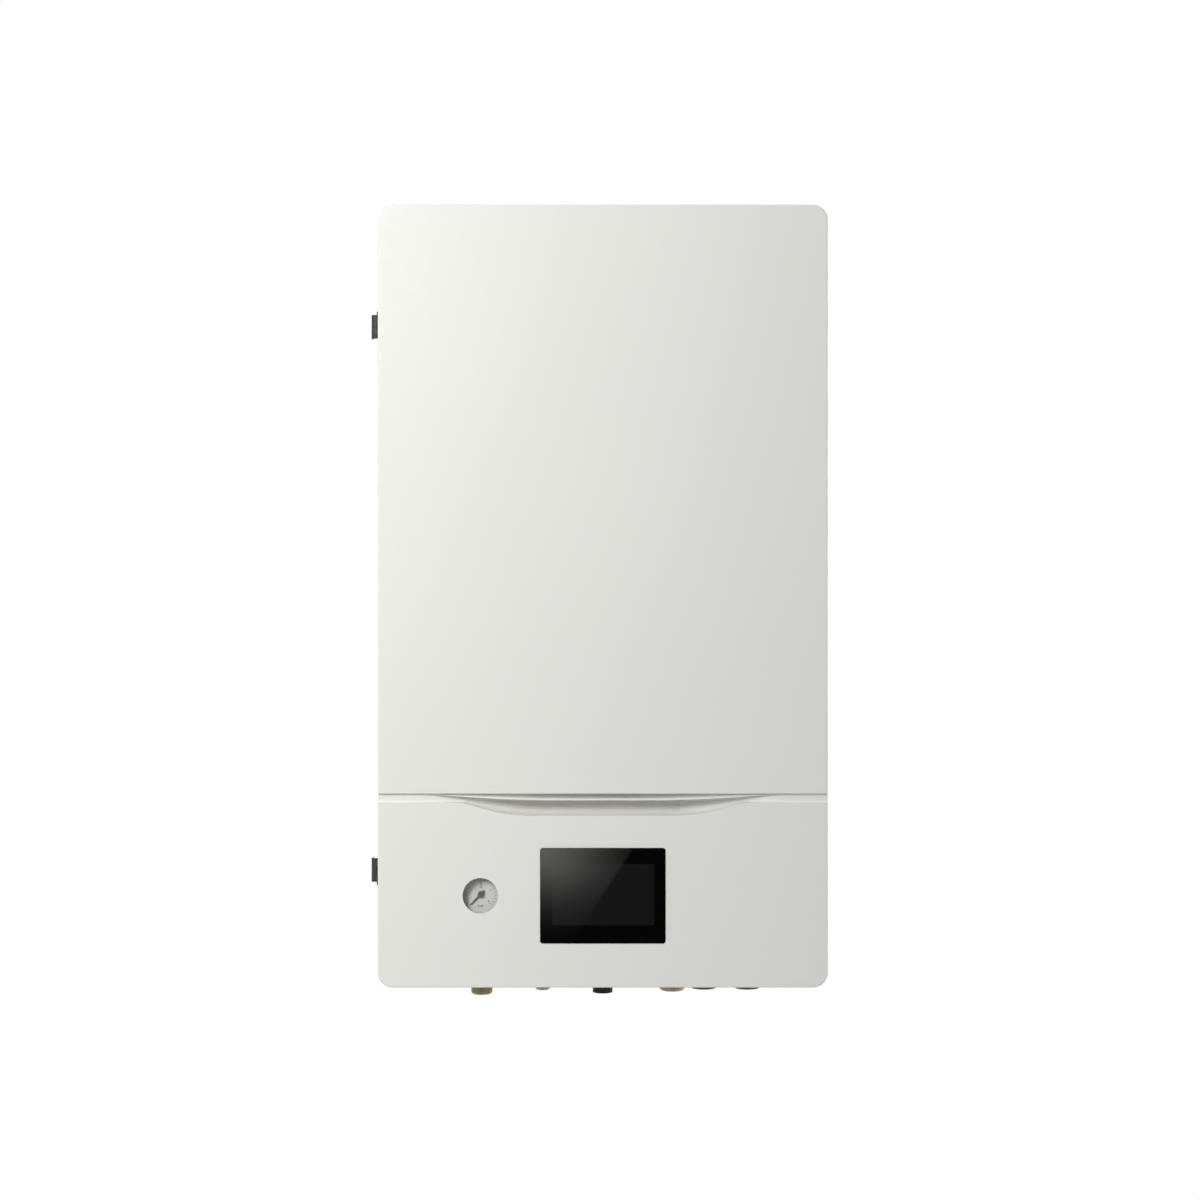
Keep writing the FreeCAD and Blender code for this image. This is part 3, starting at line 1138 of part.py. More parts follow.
def pipe_pump_outlet():
    """From the pump to the exchanger's lower water port, with a tap for the gauge."""
    left = INLET_X - PUMP_PIPE_STEP
    crown = PUMP_HIGH + PUMP_CROWN
    tap = (V(GAUGE_TAP_X, PORT_RUN_Y, PORT_LOW), DOWN, GAUGE_PIPE_D - 2 * COPPER_WALL)
    return water_pipe([V(INLET_X, ROW_Y, PUMP_HIGH), V(INLET_X, ROW_Y, crown),
                       V(left, ROW_Y - PUMP_PIPE_LEAN, crown),
                       V(left, PORT_RUN_Y, PORT_LOW), V(PORT_RIGHT, PORT_RUN_Y, PORT_LOW),
                       V(PORT_RIGHT, PORT_FACE, PORT_LOW)], [tap])


def pipe_exchanger_outlet():
    """From the exchanger's upper water port to the heater, with the vent and the relief valve on it."""
    rise = PORT_RIGHT + RISE_STEP
    taps = [(V(VENT_X, REAR_ROW_Y, HEATER_INLET_Z), UP, BOSS_BORE),
            (V(RELIEF_X, REAR_ROW_Y, HEATER_INLET_Z), FRONT, BOSS_BORE)]
    return water_pipe([V(PORT_RIGHT, PORT_FACE, PORT_HIGH), V(PORT_RIGHT, PORT_RUN_Y, PORT_HIGH),
                       V(rise, PORT_RUN_Y, PORT_HIGH), V(rise, REAR_ROW_Y, PORT_HIGH),
                       V(HEATER_NOZZLE_X, REAR_ROW_Y, HEATER_INLET_Z)], taps)


def pipe_flow():
    """Short run from the heater down to the flow sensor."""
    return water_pipe([V(OUTLET_X, REAR_ROW_Y, HEATER_BOTTOM - HEATER_NIPPLE),
                       V(OUTLET_X, REAR_ROW_Y, SENSOR_TOP)])


def pipe_gas():
    """Copper pipe for the refrigerant vapour, from its union up to the exchanger."""
    left = PORT_LEFT - GAS_STEP
    low = UNION_TOP + GAS_RISE
    return pipe([V(GAS_X, ROW_Y, UNION_TOP), V(GAS_X, ROW_Y, low), V(left, PORT_RUN_Y, low + GAS_SLANT),
                 V(left, PORT_RUN_Y, PORT_HIGH - GAS_STEP), V(PORT_LEFT, PORT_RUN_Y, PORT_HIGH),
                 V(PORT_LEFT, PORT_FACE, PORT_HIGH)],
                GAS_PIPE_D, COPPER_WALL, GAS_BEND)


def pipe_liquid():
    """Copper pipe for the liquid refrigerant."""
    level = UNION_TOP + LIQUID_RISE
    return pipe([V(LIQUID_X, ROW_Y, UNION_TOP), V(LIQUID_X, ROW_Y, level), V(PORT_LEFT, PORT_RUN_Y, level),
                 V(PORT_LEFT, PORT_RUN_Y, PORT_LOW), V(PORT_LEFT, PORT_FACE, PORT_LOW)],
                LIQUID_PIPE_D, COPPER_WALL, LIQUID_BEND)


def vessel_tube():
    """From the expansion vessel to the tap on the return pipe."""
    top = VESSEL_Z - VESSEL_D / 2 - VESSEL_NIPPLE
    return pipe([V(VESSEL_X, VESSEL_Y, top), V(VESSEL_X, VESSEL_Y, VESSEL_TAP_Z),
                 V(INLET_X, VESSEL_Y, VESSEL_TAP_Z),
                 V(INLET_X, ROW_Y + WATER_PIPE_D / 2 + BOSS, VESSEL_TAP_Z)],
                VESSEL_PIPE_D, COPPER_WALL, VESSEL_BEND)


def discharge_tube():
    """From the relief valve down into the drain funnel."""
    return pipe([V(RELIEF_X, RELIEF_OUT_Y, RELIEF_OUT_Z), V(RELIEF_X, RELIEF_OUT_Y, VESSEL_TAP_Z),
                 V(DRAIN_X, ROW_Y, VESSEL_TAP_Z - 30), V(DRAIN_X, ROW_Y, FUNNEL_TOP - 15)],
                DISCHARGE_D, COPPER_WALL, DISCHARGE_BEND)


def union_nuts():
    """Nuts on the water pipes, one at each port of the exchanger, the pump and the heater."""
    places = [(V(PORT_RIGHT, PORT_FACE, PORT_HIGH), FRONT), (V(PORT_RIGHT, PORT_FACE, PORT_LOW), FRONT),
              (V(INLET_X, ROW_Y, PUMP_HIGH), UP), (V(INLET_X, ROW_Y, PUMP_LOW), DOWN),
              (V(HEATER_NOZZLE_X, REAR_ROW_Y, HEATER_INLET_Z), LEFT)]
    return Part.makeCompound([nut(start, direction, WATER_PIPE_D) for start, direction in places])


# Pressure gauge
GAUGE_FRONT = DOOR_FRONT + GAUGE_RECESS
GAUGE_REAR = GAUGE_FRONT + GAUGE_CASE_H
GAUGE_INNER_R = GAUGE_CASE_D / 2 - GAUGE_WALL
DIAL_FACE = GAUGE_FRONT + DIAL_DEPTH
SPINDLE_R = 0.8
CRYSTAL_SEAT = 0.7          # the crystal overlaps the case's wall by this


def gauge_case():
    """Round gauge case with a screwed neck behind."""
    front = V(GAUGE_X, GAUGE_FRONT, GAUGE_Z)
    case = rod(front, BACK, GAUGE_CASE_D, GAUGE_CASE_H)
    case = case.fuse(rod(V(GAUGE_X, GAUGE_REAR, GAUGE_Z), BACK, GAUGE_NECK_D, GAUGE_NECK))
    return case.cut([rod(front, BACK, 2 * GAUGE_INNER_R, DIAL_DEPTH + DIAL_H),
                     rod(front, BACK, 2 * (GAUGE_INNER_R + CRYSTAL_SEAT), CRYSTAL_H)])


def gauge_dial():
    """Dial plate with the spindle that carries the needle."""
    face = V(GAUGE_X, DIAL_FACE, GAUGE_Z)
    plate = rod(face, BACK, 2 * (GAUGE_INNER_R - FIT), DIAL_H)
    return plate.fuse(rod(face, FRONT, 2 * SPINDLE_R, NEEDLE_LIFT + NEEDLE_HUB_H / 2))


def gauge_crystal():
    return rod(V(GAUGE_X, GAUGE_FRONT, GAUGE_Z), BACK, 2 * (GAUGE_INNER_R + CRYSTAL_SEAT - FIT), CRYSTAL_H)


def gauge_needle():
    """Tapered needle on its hub, drawn at the zero mark."""
    rear = V(GAUGE_X, DIAL_FACE - NEEDLE_LIFT, GAUGE_Z)
    hub = rod(rear, FRONT, 2 * NEEDLE_HUB_R, NEEDLE_HUB_H)
    root, tip = NEEDLE_WIDTH[0] / 2, NEEDLE_WIDTH[1] / 2
    outline = [V(-NEEDLE_TAIL, 0, -root), V(-NEEDLE_TAIL, 0, root),
               V(NEEDLE_LENGTH, 0, tip), V(NEEDLE_LENGTH, 0, -tip)]
    blade = Part.Face(Part.makePolygon(outline + outline[:1])).extrude(FRONT * NEEDLE_H)
    blade.rotate(V(), FRONT, NEEDLE_REST)
    blade.translate(rear + FRONT * NEEDLE_LIFT)
    return hub.fuse(blade).cut(rod(rear, FRONT, 2 * (SPINDLE_R + FIT), NEEDLE_HUB_H * 0.7)).removeSplitter()


def gauge_bracket():
    """Sheet bracket that stands on the bottom panel and carries the gauge."""
    half = GAUGE_PLATE[0] / 2
    across = (GAUGE_X - half, GAUGE_X + half)
    thick = GAUGE_PLATE[1]
    plate = block(across, (GAUGE_REAR, GAUGE_REAR + thick), (FLOOR, GAUGE_Z + half))
    foot = block(across, (GAUGE_REAR, GAUGE_REAR + GAUGE_FOOT), (FLOOR, FLOOR + thick))
    neck_hole = rod(V(GAUGE_X, GAUGE_REAR, GAUGE_Z), BACK, GAUGE_NECK_D + 2 * FIT, thick)
    return plate.fuse(foot).cut(neck_hole).removeSplitter()


def gauge_tube():
    """Fine copper tube from the gauge to the tap on the pump's outlet pipe."""
    end = PORT_LOW - WATER_PIPE_D / 2 - BOSS
    start = GAUGE_REAR + GAUGE_NECK
    return pipe([V(GAUGE_X, start, GAUGE_Z), V(GAUGE_X, start + GAUGE_RUN, GAUGE_Z),
                 V(GAUGE_TAP_X, PORT_RUN_Y, GAUGE_Z + GAUGE_TUBE_RISE), V(GAUGE_TAP_X, PORT_RUN_Y, end)],
                GAUGE_PIPE_D, COPPER_WALL, GAUGE_BEND)


PIECES = {
    "wall_rail": wall_rail(),
    "back_panel": back_panel(),
    "side_panel_left": side_panel(-1),
    "side_panel_right": side_panel(1),
    "top_panel": end_panel(TOP, -1),
    "bottom_panel": bottom_panel(),
    "casing_screws": casing_screws(),
    "hinge_upper_case_leaf": case_leaf(HINGE_UPPER),
    "hinge_lower_case_leaf": case_leaf(HINGE_LOWER),
    "hinge_pins": hinge_pins(),
    "door_seal": door_seal(),
    "door_magnets": door_magnets(),
    "control_box_tray": control_box_tray(),
    "control_box_cover": control_box_cover(),
    "main_board": main_board(),
    "terminal_block": terminal_block(),
    "expansion_vessel": expansion_vessel(),
    "vessel_cradle": vessel_cradle(),
    "plate_heat_exchanger": plate_heat_exchanger(),
    "heater_vessel": heater_vessel(),
    "heater_element_head": heater_element_head(),
    "thermal_cutout": thermal_cutout(),
    "reset_button": reset_button(),
    "pump_housing": pump_housing(),
    "pump_motor": pump_motor(),
    "pump_rotor": pump_rotor(),
    "inlet_strainer": inlet_strainer(),
    "flow_sensor": flow_sensor(),
    "relief_valve": relief_valve(),
    "relief_knob": relief_knob(),
    "air_vent": air_vent(),
    "gauge_case": gauge_case(),
    "gauge_dial": gauge_dial(),
    "gauge_crystal": gauge_crystal(),
    "gauge_needle": gauge_needle(),
    "gauge_bracket": gauge_bracket(),
    "gauge_tube": gauge_tube(),
    "pipe_return": pipe_return(),
    "pipe_pump_outlet": pipe_pump_outlet(),
    "pipe_exchanger_outlet": pipe_exchanger_outlet(),
    "pipe_flow": pipe_flow(),
    "pipe_gas": pipe_gas(),
    "pipe_liquid": pipe_liquid(),
    "vessel_tube": vessel_tube(),
    "discharge_tube": discharge_tube(),
    "drain_funnel": drain_funnel(),
    "water_outlet": water_outlet(),
    "gas_union": gas_union(),
    "liquid_union": liquid_union(),
    "cable_gland_power": cable_gland(GLAND_X[0]),
    "cable_gland_signal": cable_gland(GLAND_X[1]),
    "union_nuts": union_nuts(),
    "upper_panel": upper_panel(),
    "lower_panel": lower_panel(),
    "door_frame": door_frame(),
    "pull_lip": pull_lip(),
    "display_housing": display_housing(),
    "display_glass": display_glass(),
    "hinge_upper_door_leaf": door_leaf(HINGE_UPPER),
    "hinge_lower_door_leaf": door_leaf(HINGE_LOWER),
}

os.makedirs("parts", exist_ok=True)
for name, shape in PIECES.items():
    shape.exportStep("parts/" + name + ".step")
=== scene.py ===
"""Looks of a wall-hung indoor heat pump unit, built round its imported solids. Lengths are in metres."""

import json
import math

import bmesh
import bpy
import numpy as np
from bpy.props import FloatProperty, FloatVectorProperty, IntProperty, PointerProperty
from mathutils import Matrix, Vector


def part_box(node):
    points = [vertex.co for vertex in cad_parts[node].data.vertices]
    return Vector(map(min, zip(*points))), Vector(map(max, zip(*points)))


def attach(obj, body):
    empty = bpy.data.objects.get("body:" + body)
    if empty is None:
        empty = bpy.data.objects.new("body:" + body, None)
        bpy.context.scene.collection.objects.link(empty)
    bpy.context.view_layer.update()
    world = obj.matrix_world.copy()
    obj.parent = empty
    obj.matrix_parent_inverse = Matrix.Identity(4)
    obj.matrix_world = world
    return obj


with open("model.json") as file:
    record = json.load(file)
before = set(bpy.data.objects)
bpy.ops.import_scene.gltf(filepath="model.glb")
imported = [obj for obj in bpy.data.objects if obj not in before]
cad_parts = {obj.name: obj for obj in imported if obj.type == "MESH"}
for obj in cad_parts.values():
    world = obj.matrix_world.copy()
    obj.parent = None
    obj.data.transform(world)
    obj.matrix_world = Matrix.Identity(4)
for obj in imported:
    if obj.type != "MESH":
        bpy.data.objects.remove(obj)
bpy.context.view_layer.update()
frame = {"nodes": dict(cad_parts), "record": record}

bl_info = {
    "name": "Wall-hung heat pump unit",
    "version": (1, 0, 0),
    "blender": (4, 5, 0),
    "location": "3D View > Sidebar > Heat pump",
    "description": "Finishes, fasteners, threads and dial of a wall-hung heat pump unit",
    "category": "Object",
}

MM = 0.001

# Places that the solids give
DOOR_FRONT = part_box("upper_panel")[0].y
DIAL_LOW, DIAL_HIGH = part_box("gauge_dial")
DIAL_THICKNESS = 1.0 * MM
DIAL_FACE = DIAL_HIGH.y - DIAL_THICKNESS
DIAL_CENTRE = Vector(((DIAL_LOW.x + DIAL_HIGH.x) / 2, DIAL_FACE, (DIAL_LOW.z + DIAL_HIGH.z) / 2))
GLASS_LOW, GLASS_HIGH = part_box("display_glass")

FRONT = (0, -1, 0)
LEFT = (-1, 0, 0)
RIGHT = (1, 0, 0)
BACK = (0, 1, 0)


def colour(name, default, description):
    return FloatVectorProperty(name=name, description=description, default=default, subtype="COLOR",
                               size=3, min=0, max=1)


def length(name, default, description):
    return FloatProperty(name=name, description=description, default=default, subtype="DISTANCE",
                         unit="LENGTH", precision=5, min=0)


def watts(name, default, description):
    return FloatProperty(name=name, description=description, default=default, unit="POWER", min=0)


class UnitColours(bpy.types.PropertyGroup):
    """Colours of the finishes."""
    white: colour("White", (0.87, 0.87, 0.825), "Powder coat and mouldings of the casing")
    zinc: colour("Zinc", (0.50, 0.51, 0.515), "Galvanised sheet")
    black: colour("Black", (0.012, 0.012, 0.012), "Drain funnel")
    grey_nylon: colour("Grey nylon", (0.055, 0.056, 0.058), "Cable glands")
    glass_black: colour("Glass black", (0.0012, 0.0012, 0.0012), "Border of the screen")
    screen_off: colour("Screen off", (0.0100, 0.0100, 0.0105), "Active area of the dark screen")
    brass: colour("Brass", (0.62, 0.44, 0.21), "Machined brass")
    # The next two colours are darker copies of brass for the connections under the casing: painted shade,
    # with tarnish as well
    dull_brass: colour("Gas brass tarnish and shade", (0.255, 0.212, 0.122), "Tarnished brass of the gas connection")
    bronze: colour("Water brass tarnish and shade", (0.40, 0.33, 0.24), "Tarnished brass of the water connections")
    copper: colour("Copper", (0.74, 0.37, 0.23), "Drawn copper tube")
    nickel: colour("Nickel", (0.68, 0.67, 0.63), "Nickel plate")
    # A darker copy of nickel for the liquid connection under the casing: painted shade
    dull_nickel: colour("Nickel with painted shade", (0.34, 0.33, 0.31), "Nickel plate of the liquid connection")
    steel: colour("Steel", (0.60, 0.59, 0.57), "Stainless steel")
    red: colour("Red", (0.42, 0.022, 0.016), "Expansion vessel and relief knob")
    dial: colour("Dial", (0.75, 0.75, 0.715), "Printed dial")
    print_grey: colour("Print grey", (0.06, 0.06, 0.055), "Marks of the dial")
    needle: colour("Needle", (0.028, 0.028, 0.026), "Needle of the dial")


class GaugeSizes(bpy.types.PropertyGroup):
    """Sizes of the marks on the pressure dial."""
    scale_radius: length("Scale radius", 15.5 * MM, "Outer end of the scale marks")
    long_mark: length("Long mark", 3.0 * MM, "Length of a numbered mark")
    short_mark: length("Short mark", 1.6 * MM, "Length of a mark between numbers")
    mark_width: length("Mark width", 0.38 * MM, "Width of a mark")
    figure_height: length("Figure height", 2.4 * MM, "Height of the figures")
    figure_radius: length("Figure radius", 10.4 * MM, "Distance of the figures from the middle")
    numbers: IntProperty(name="Numbers", description="Highest number on the scale", default=4, min=1)
    divisions: IntProperty(name="Divisions", description="Steps between two numbers", default=5, min=1)


class ThreadSizes(bpy.types.PropertyGroup):
    """Sizes of the threads under the casing."""
    height: length("Height", 0.45 * MM, "How far a crest stands out")
    flare_pitch: length("Flare pitch", 1.6 * MM, "Pitch of the refrigerant threads")
    water_pitch: length("Water pitch", 1.814 * MM, "Pitch of the water threads")


class FastenerSizes(bpy.types.PropertyGroup):
    """Sizes of the hinge screws."""
    leaf: length("Leaf", 1.5 * MM, "Thickness of a hinge leaf")
    head: length("Head", 6.4 * MM, "Diameter of a hinge screw's head")
    dome: length("Dome", 1.5 * MM, "Height of a hinge screw's head")
    slot_width: length("Slot width", 0.8 * MM, "Width of the cross in a head")


class GlandSizes(bpy.types.PropertyGroup):
    """Sizes of the grip ribs on the cable glands."""
    radius: length("Radius", 15.0 * MM, "Radius of the nut's side")
    ribs: IntProperty(name="Ribs", description="Ribs round each nut", default=24, min=3)
    rib_width: length("Rib width", 1.6 * MM, "Width of a rib")
    rib_height: length("Rib height", 0.5 * MM, "How far a rib stands out")
    rib_clear: length("Rib clear", 4.0 * MM, "Lower end of the ribs above the nut's lower end")


class StageSizes(bpy.types.PropertyGroup):
    """Camera, floor and light."""
    camera_distance: length("Camera distance", 2.150, "From the camera to the door's face")
    frame_width: length("Frame width", 1.1994, "Width of the picture at the door's face")
    floor_height: FloatProperty(name="Floor height", description="Height of the floor below the wall bolts",
                                default=-1.5, unit="LENGTH")
    ambient: FloatProperty(name="Ambient", description="Level of the even light", default=0.24, min=0)
    key_power: watts("Key power", 104, "Power of the large lamp in front")
    side_power: watts("Side power", 22, "Power of the lamp that lights the right side and the back")
    back_power: watts("Back power", 12, "Power of the lamp behind the left side")


class UnitSettings(bpy.types.PropertyGroup):
    """All settings of the unit."""
    colours: PointerProperty(type=UnitColours)
    gauge: PointerProperty(type=GaugeSizes)
    thread: PointerProperty(type=ThreadSizes)
    fastener: PointerProperty(type=FastenerSizes)
    gland: PointerProperty(type=GlandSizes)
    stage: PointerProperty(type=StageSizes)


def settings():
    return bpy.context.scene.heat_unit


# Surfaces
SAME_POINT = 1e-6   # points closer than this become one


def surface_mesh(name, sheets, wrap_u=True, wrap_v=False, sharp=40.0):
    """Mesh of one grid of points, sheets[v, u], or of many, sheets[k, v, u].

    Neighbours in a grid are joined into quads, and a wrapped direction closes on itself. Points that fall
    together, as at a pole, become one, and the faces are turned outwards.
    """
    sheets = np.asarray(sheets, float)
    if sheets.ndim == 3:
        sheets = sheets[None]
    index = np.arange(sheets[..., 0].size).reshape(sheets.shape[:3])
    if wrap_u:
        index = np.concatenate([index, index[:, :, :1]], axis=2)
    if wrap_v:
        index = np.concatenate([index, index[:, :1]], axis=1)
    quads = np.stack([index[:, :-1, :-1], index[:, :-1, 1:], index[:, 1:, 1:], index[:, 1:, :-1]], axis=-1)
    mesh = bpy.data.meshes.new(name)
    mesh.from_pydata(sheets.reshape(-1, 3).tolist(), [], quads.reshape(-1, 4).tolist())
    work = bmesh.new()
    work.from_mesh(mesh)
    bmesh.ops.remove_doubles(work, verts=work.verts, dist=SAME_POINT)
    bmesh.ops.recalc_face_normals(work, faces=work.faces)
    work.to_mesh(mesh)
    work.free()
    mesh.polygons.foreach_set("use_smooth", np.ones(len(mesh.polygons), bool))
    mesh.set_sharp_from_angle(angle=math.radians(sharp))
    return mesh


def add_piece(name, mesh, body, finish):
    """Piece that rides on a body and wears a finish."""
    piece = bpy.data.objects.new(name, mesh)
    bpy.context.scene.collection.objects.link(piece)
    mesh.materials.append(finish)
    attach(piece, body)


def add_surface(name, sheets, body, slot, finish=None, **options):
    """Piece of closed sheets, in its slot's own finish unless another is given."""
    add_piece(name, surface_mesh(name, sheets, **options), body, finish or FINISHES[slot])


def even_turn(count):
    """Angles that divide a whole turn evenly."""
    return np.arange(count) * 2 * np.pi / count


def squared_oval(segments, exponent):
    """Cosine and sine round a turn, each to a power below one, which makes a circle squarer."""
    angle = even_turn(segments)
    return [np.sign(part) * np.abs(part) ** exponent for part in (np.cos(angle), np.sin(angle))]


NEAR_UPRIGHT = 0.9  # an axis with more z than this counts as upright


def cross_axes(axes):
    """Two unit vectors square to each axis and to each other."""
    axes = np.asarray(axes, float)
    helper = np.where(np.abs(axes[..., 2:]) > NEAR_UPRIGHT, np.array([1.0, 0, 0]), np.array([0, 0, 1.0]))
    first = np.cross(helper, axes)
    first /= np.linalg.norm(first, axis=-1, keepdims=True)
    return first, np.cross(axes, first)


def turned(profile, starts, axes, segments):
    """Profiles of (radius, distance) turned about axes: start, distance along the axis, radius round it."""
    profile = np.asarray(profile, float)
    starts = np.atleast_2d(np.asarray(starts, float))
    axes = np.broadcast_to(np.asarray(axes, float), starts.shape)
    first, second = cross_axes(axes)
    angle = even_turn(segments)
    round_it = first[:, None] * np.cos(angle)[:, None] + second[:, None] * np.sin(angle)[:, None]
    radius, distance = profile[:, 0], profile[:, 1]
    return (starts[:, None, None] + axes[:, None, None] * distance[:, None, None]
            + round_it[:, None] * radius[:, None, None])


def bars(starts, ends, faces, width, depth):
    """Rectangular bars: a rectangle at each end, closed by its own middle, carried along the bar."""
    starts, ends = np.asarray(starts, float), np.asarray(ends, float)
    along = ends - starts
    along /= np.linalg.norm(along, axis=-1, keepdims=True)
    out = np.broadcast_to(np.asarray(faces, float), starts.shape)
    side = np.cross(along, out)
    corners = np.array([(-1, -1), (1, -1), (1, 1), (-1, 1)], float)
    ring = side[:, None] * corners[:, :1] * width / 2 + out[:, None] * corners[:, 1:] * depth / 2
    still = np.zeros_like(ring)
    rows = [starts[:, None] + still, starts[:, None] + ring, ends[:, None] + ring, ends[:, None] + still]
    return np.stack(rows, axis=1)


# Section of a raised frame: share of the band across it, share of its rise
FRAME_SECTION = np.array([(0, -0.3), (0, 0.6), (0.2, 1), (0.8, 1), (1, 0.6), (1, -0.3)])


def rounded_frame(centre, half_width, half_height, band, rise):
    """Raised frame on a front face: a squared oval, narrowed row by row over a low rounded section."""
    oval_x, oval_z = squared_oval(segments=96, exponent=0.25)
    across = FRAME_SECTION[:, :1] * band
    lift = FRAME_SECTION[:, 1:] * rise
    return np.stack([centre[0] + (half_width - across) * oval_x, centre[1] - lift + 0 * oval_x,
                     centre[2] + (half_height - across) * oval_z], axis=-1)


ROOT_SINK = 0.1 * MM        # how far a thread's root lies inside the solid
CORE_SINK = 0.6 * MM        # how far the thread's hidden back lies inside the solid
FLANK_SLOPE = 1.6           # above one, root and crest are flat
ROOT_SHARE = 0.3            # part of the wave's height that is cut off for the flat root


def thread(x, y, low, high, radius, pitch, height, segments=48, steps=8):
    """Screw thread: the radius rises and falls as a triangle wave of height over pitch minus the turn.

    The rows close through a core inside the solid, so the thread is a closed ring.
    """
    rows = int(round((high - low) / pitch * steps))
    z = np.linspace(low, high, rows)
    angle = even_turn(segments)
    phase = np.mod(z[:, None] / pitch - angle / (2 * np.pi), 1.0)
    wave = 1 - np.abs(2 * phase - 1)
    ends = np.clip(np.minimum(z - low, high - z) / pitch, 0, 1)[:, None]
    wide = radius - ROOT_SINK + height * np.clip(FLANK_SLOPE * wave - ROOT_SHARE, 0, 1) * ends
    core = np.full((1, segments), radius - CORE_SINK)
    wide = np.concatenate([core, wide, core])
    z = np.concatenate([[low], z, [high]])[:, None]
    return np.stack([x + wide * np.cos(angle), y + wide * np.sin(angle), z + 0 * wide], axis=-1)


def domes(centres, half_width, half_height, rise, power=4.0, rows=8):
    """Pressed bulges on a front face: squared ovals whose height is one minus a power of the radius."""
    share = np.concatenate([np.linspace(0, 1, rows), [0.0]])
    lift = np.concatenate([1 - np.linspace(0, 1, rows) ** power, [0.0]])
    oval_x, oval_z = squared_oval(segments=32, exponent=0.5)
    shape = np.stack([share[:, None] * half_width * oval_x, -rise * lift[:, None] + 0 * oval_x,
                      share[:, None] * half_height * oval_z], axis=-1)
    return np.asarray(centres, float)[:, None, None] + shape


# Finishes
class Tree:
    """The nodes of a material or a world, with a short call for each kind."""

    def __init__(self, owner):
        owner.use_nodes = True
        self.nodes = owner.node_tree.nodes
        self.links = owner.node_tree.links

    def node(self, kind, inputs=None, **options):
        made = self.nodes.new(kind)
        for option, value in options.items():
            setattr(made, option, value)
        for socket, value in (inputs or {}).items():
            if isinstance(value, bpy.types.NodeSocket):
                self.links.new(value, made.inputs[socket])
            else:
                made.inputs[socket].default_value = value
        return made

    def spread(self, value, low, high, start=0.3, end=0.7):
        made = self.node("ShaderNodeMapRange", {"Value": value, "From Min": start, "From Max": end,
                                                "To Min": low, "To Max": high})
        return made.outputs["Result"]

    def maths(self, kind, first, second=0.0):
        return self.node("ShaderNodeMath", {0: first, 1: second}, operation=kind).outputs[0]

    def vectors(self, kind, first, second=(0, 0, 0)):
        return self.node("ShaderNodeVectorMath", {0: first, 1: second}, operation=kind)

    def mixed(self, factor, first, second):
        # The node's sockets share names, and these numbers are those for colours
        made = self.node("ShaderNodeMix", {0: factor, 6: first, 7: second}, data_type="RGBA")
        return made.outputs[2]

    def seen(self):
        """One for rays from the camera, a mirror or clear glass, and nought for those that carry light."""
        path = self.node("ShaderNodeLightPath").outputs
        mirrored = self.maths("MAXIMUM", path["Is Camera Ray"], path["Is Glossy Ray"])
        return self.maths("MAXIMUM", mirrored, path["Is Transmission Ray"])


class Finish(Tree):
    """A material, with a short call for each texture that it is made of."""

    def __init__(self, name, **constants):
        self.material = bpy.data.materials.new(name)
        super().__init__(self.material)
        self.shader = self.nodes["Principled BSDF"]
        self.place = self.node("ShaderNodeTexCoord").outputs["Object"]
        for socket, value in constants.items():
            self.shader.inputs[socket.replace("_", " ")].default_value = value

    def feed(self, socket, output):
        self.links.new(output, self.shader.inputs[socket])

    def stretched(self, scale):
        return self.node("ShaderNodeMapping", {"Vector": self.place, "Scale": scale}).outputs["Vector"]

    def noise(self, scale, detail, place=None):
        place = place or self.place
        made = self.node("ShaderNodeTexNoise", {"Vector": place, "Scale": scale, "Detail": detail})
        return made.outputs["Fac"]

    def cells(self, scale, output="Distance"):
        made = self.node("ShaderNodeTexVoronoi", {"Vector": self.place, "Scale": scale})
        return made.outputs[output]

    def bump(self, height, depth):
        made = self.node("ShaderNodeBump", {"Height": height, "Distance": depth, "Strength": 1.0})
        self.feed("Normal", made.outputs["Normal"])


def shade(tone, factor):
    return tuple(min(max(part * factor, 0), 1) for part in tone) + (1.0,)


def coated(name, tone, rough, grain, depth, cloud=0.015):
    """Powder coat or satin moulding: a fine even grain, faint clouds and a little change of gloss."""
    made = Finish(name, Roughness=rough)
    made.feed("Base Color", made.mixed(made.noise(6, 3), shade(tone, 1 - cloud), shade(tone, 1 + cloud)))
    made.feed("Roughness", made.spread(made.noise(grain / 6, 2), rough - 0.05, rough + 0.06))
    made.bump(made.noise(grain, 2), depth)
    return made.material


def plastic(name, tone, rough, grain, depth, shine=0.5):
    """Moulded plastic: a spark-eroded grain with painted shade in its hollows, and slightly worn gloss."""
    made = Finish(name, Roughness=rough, Specular_IOR_Level=shine)
    grain_and_hollow_shade = made.noise(grain, 3)
    # painted shade: the colour is darker where the grain's bump sinks
    made.feed("Base Color", made.mixed(made.spread(grain_and_hollow_shade, 0, 1), shade(tone, 0.82), shade(tone, 1.2)))
    made.feed("Roughness", made.spread(made.noise(45, 4), rough - 0.07, rough + 0.09))
    made.bump(grain_and_hollow_shade, depth)
    return made.material


ROLLING_LINES = (1, 1, 0.06)    # stretch of the noise into upright lines on rolled sheet
DRAWN_LINES = (1, 1, 0.05)      # and on drawn or turned metal


def galvanised(name, tone):
    """Hot-dip zinc: crystals of many greys, each with its own gloss, over faint rolling lines."""
    made = Finish(name, Metallic=1.0)
    crystal = made.node("ShaderNodeSeparateColor", {0: made.cells(95, "Color")}).outputs[0]
    cloud = made.noise(14, 4)
    grey = made.mixed(crystal, shade(tone, 0.84), shade(tone, 1.08))
    made.feed("Base Color", made.mixed(made.spread(cloud, 0, 0.35), grey, shade(tone, 0.78)))
    made.feed("Roughness", made.spread(crystal, 0.62, 0.74, 0, 1))
    made.bump(made.noise(300, 3, made.stretched(ROLLING_LINES)), 0.03 * MM)
    return made.material


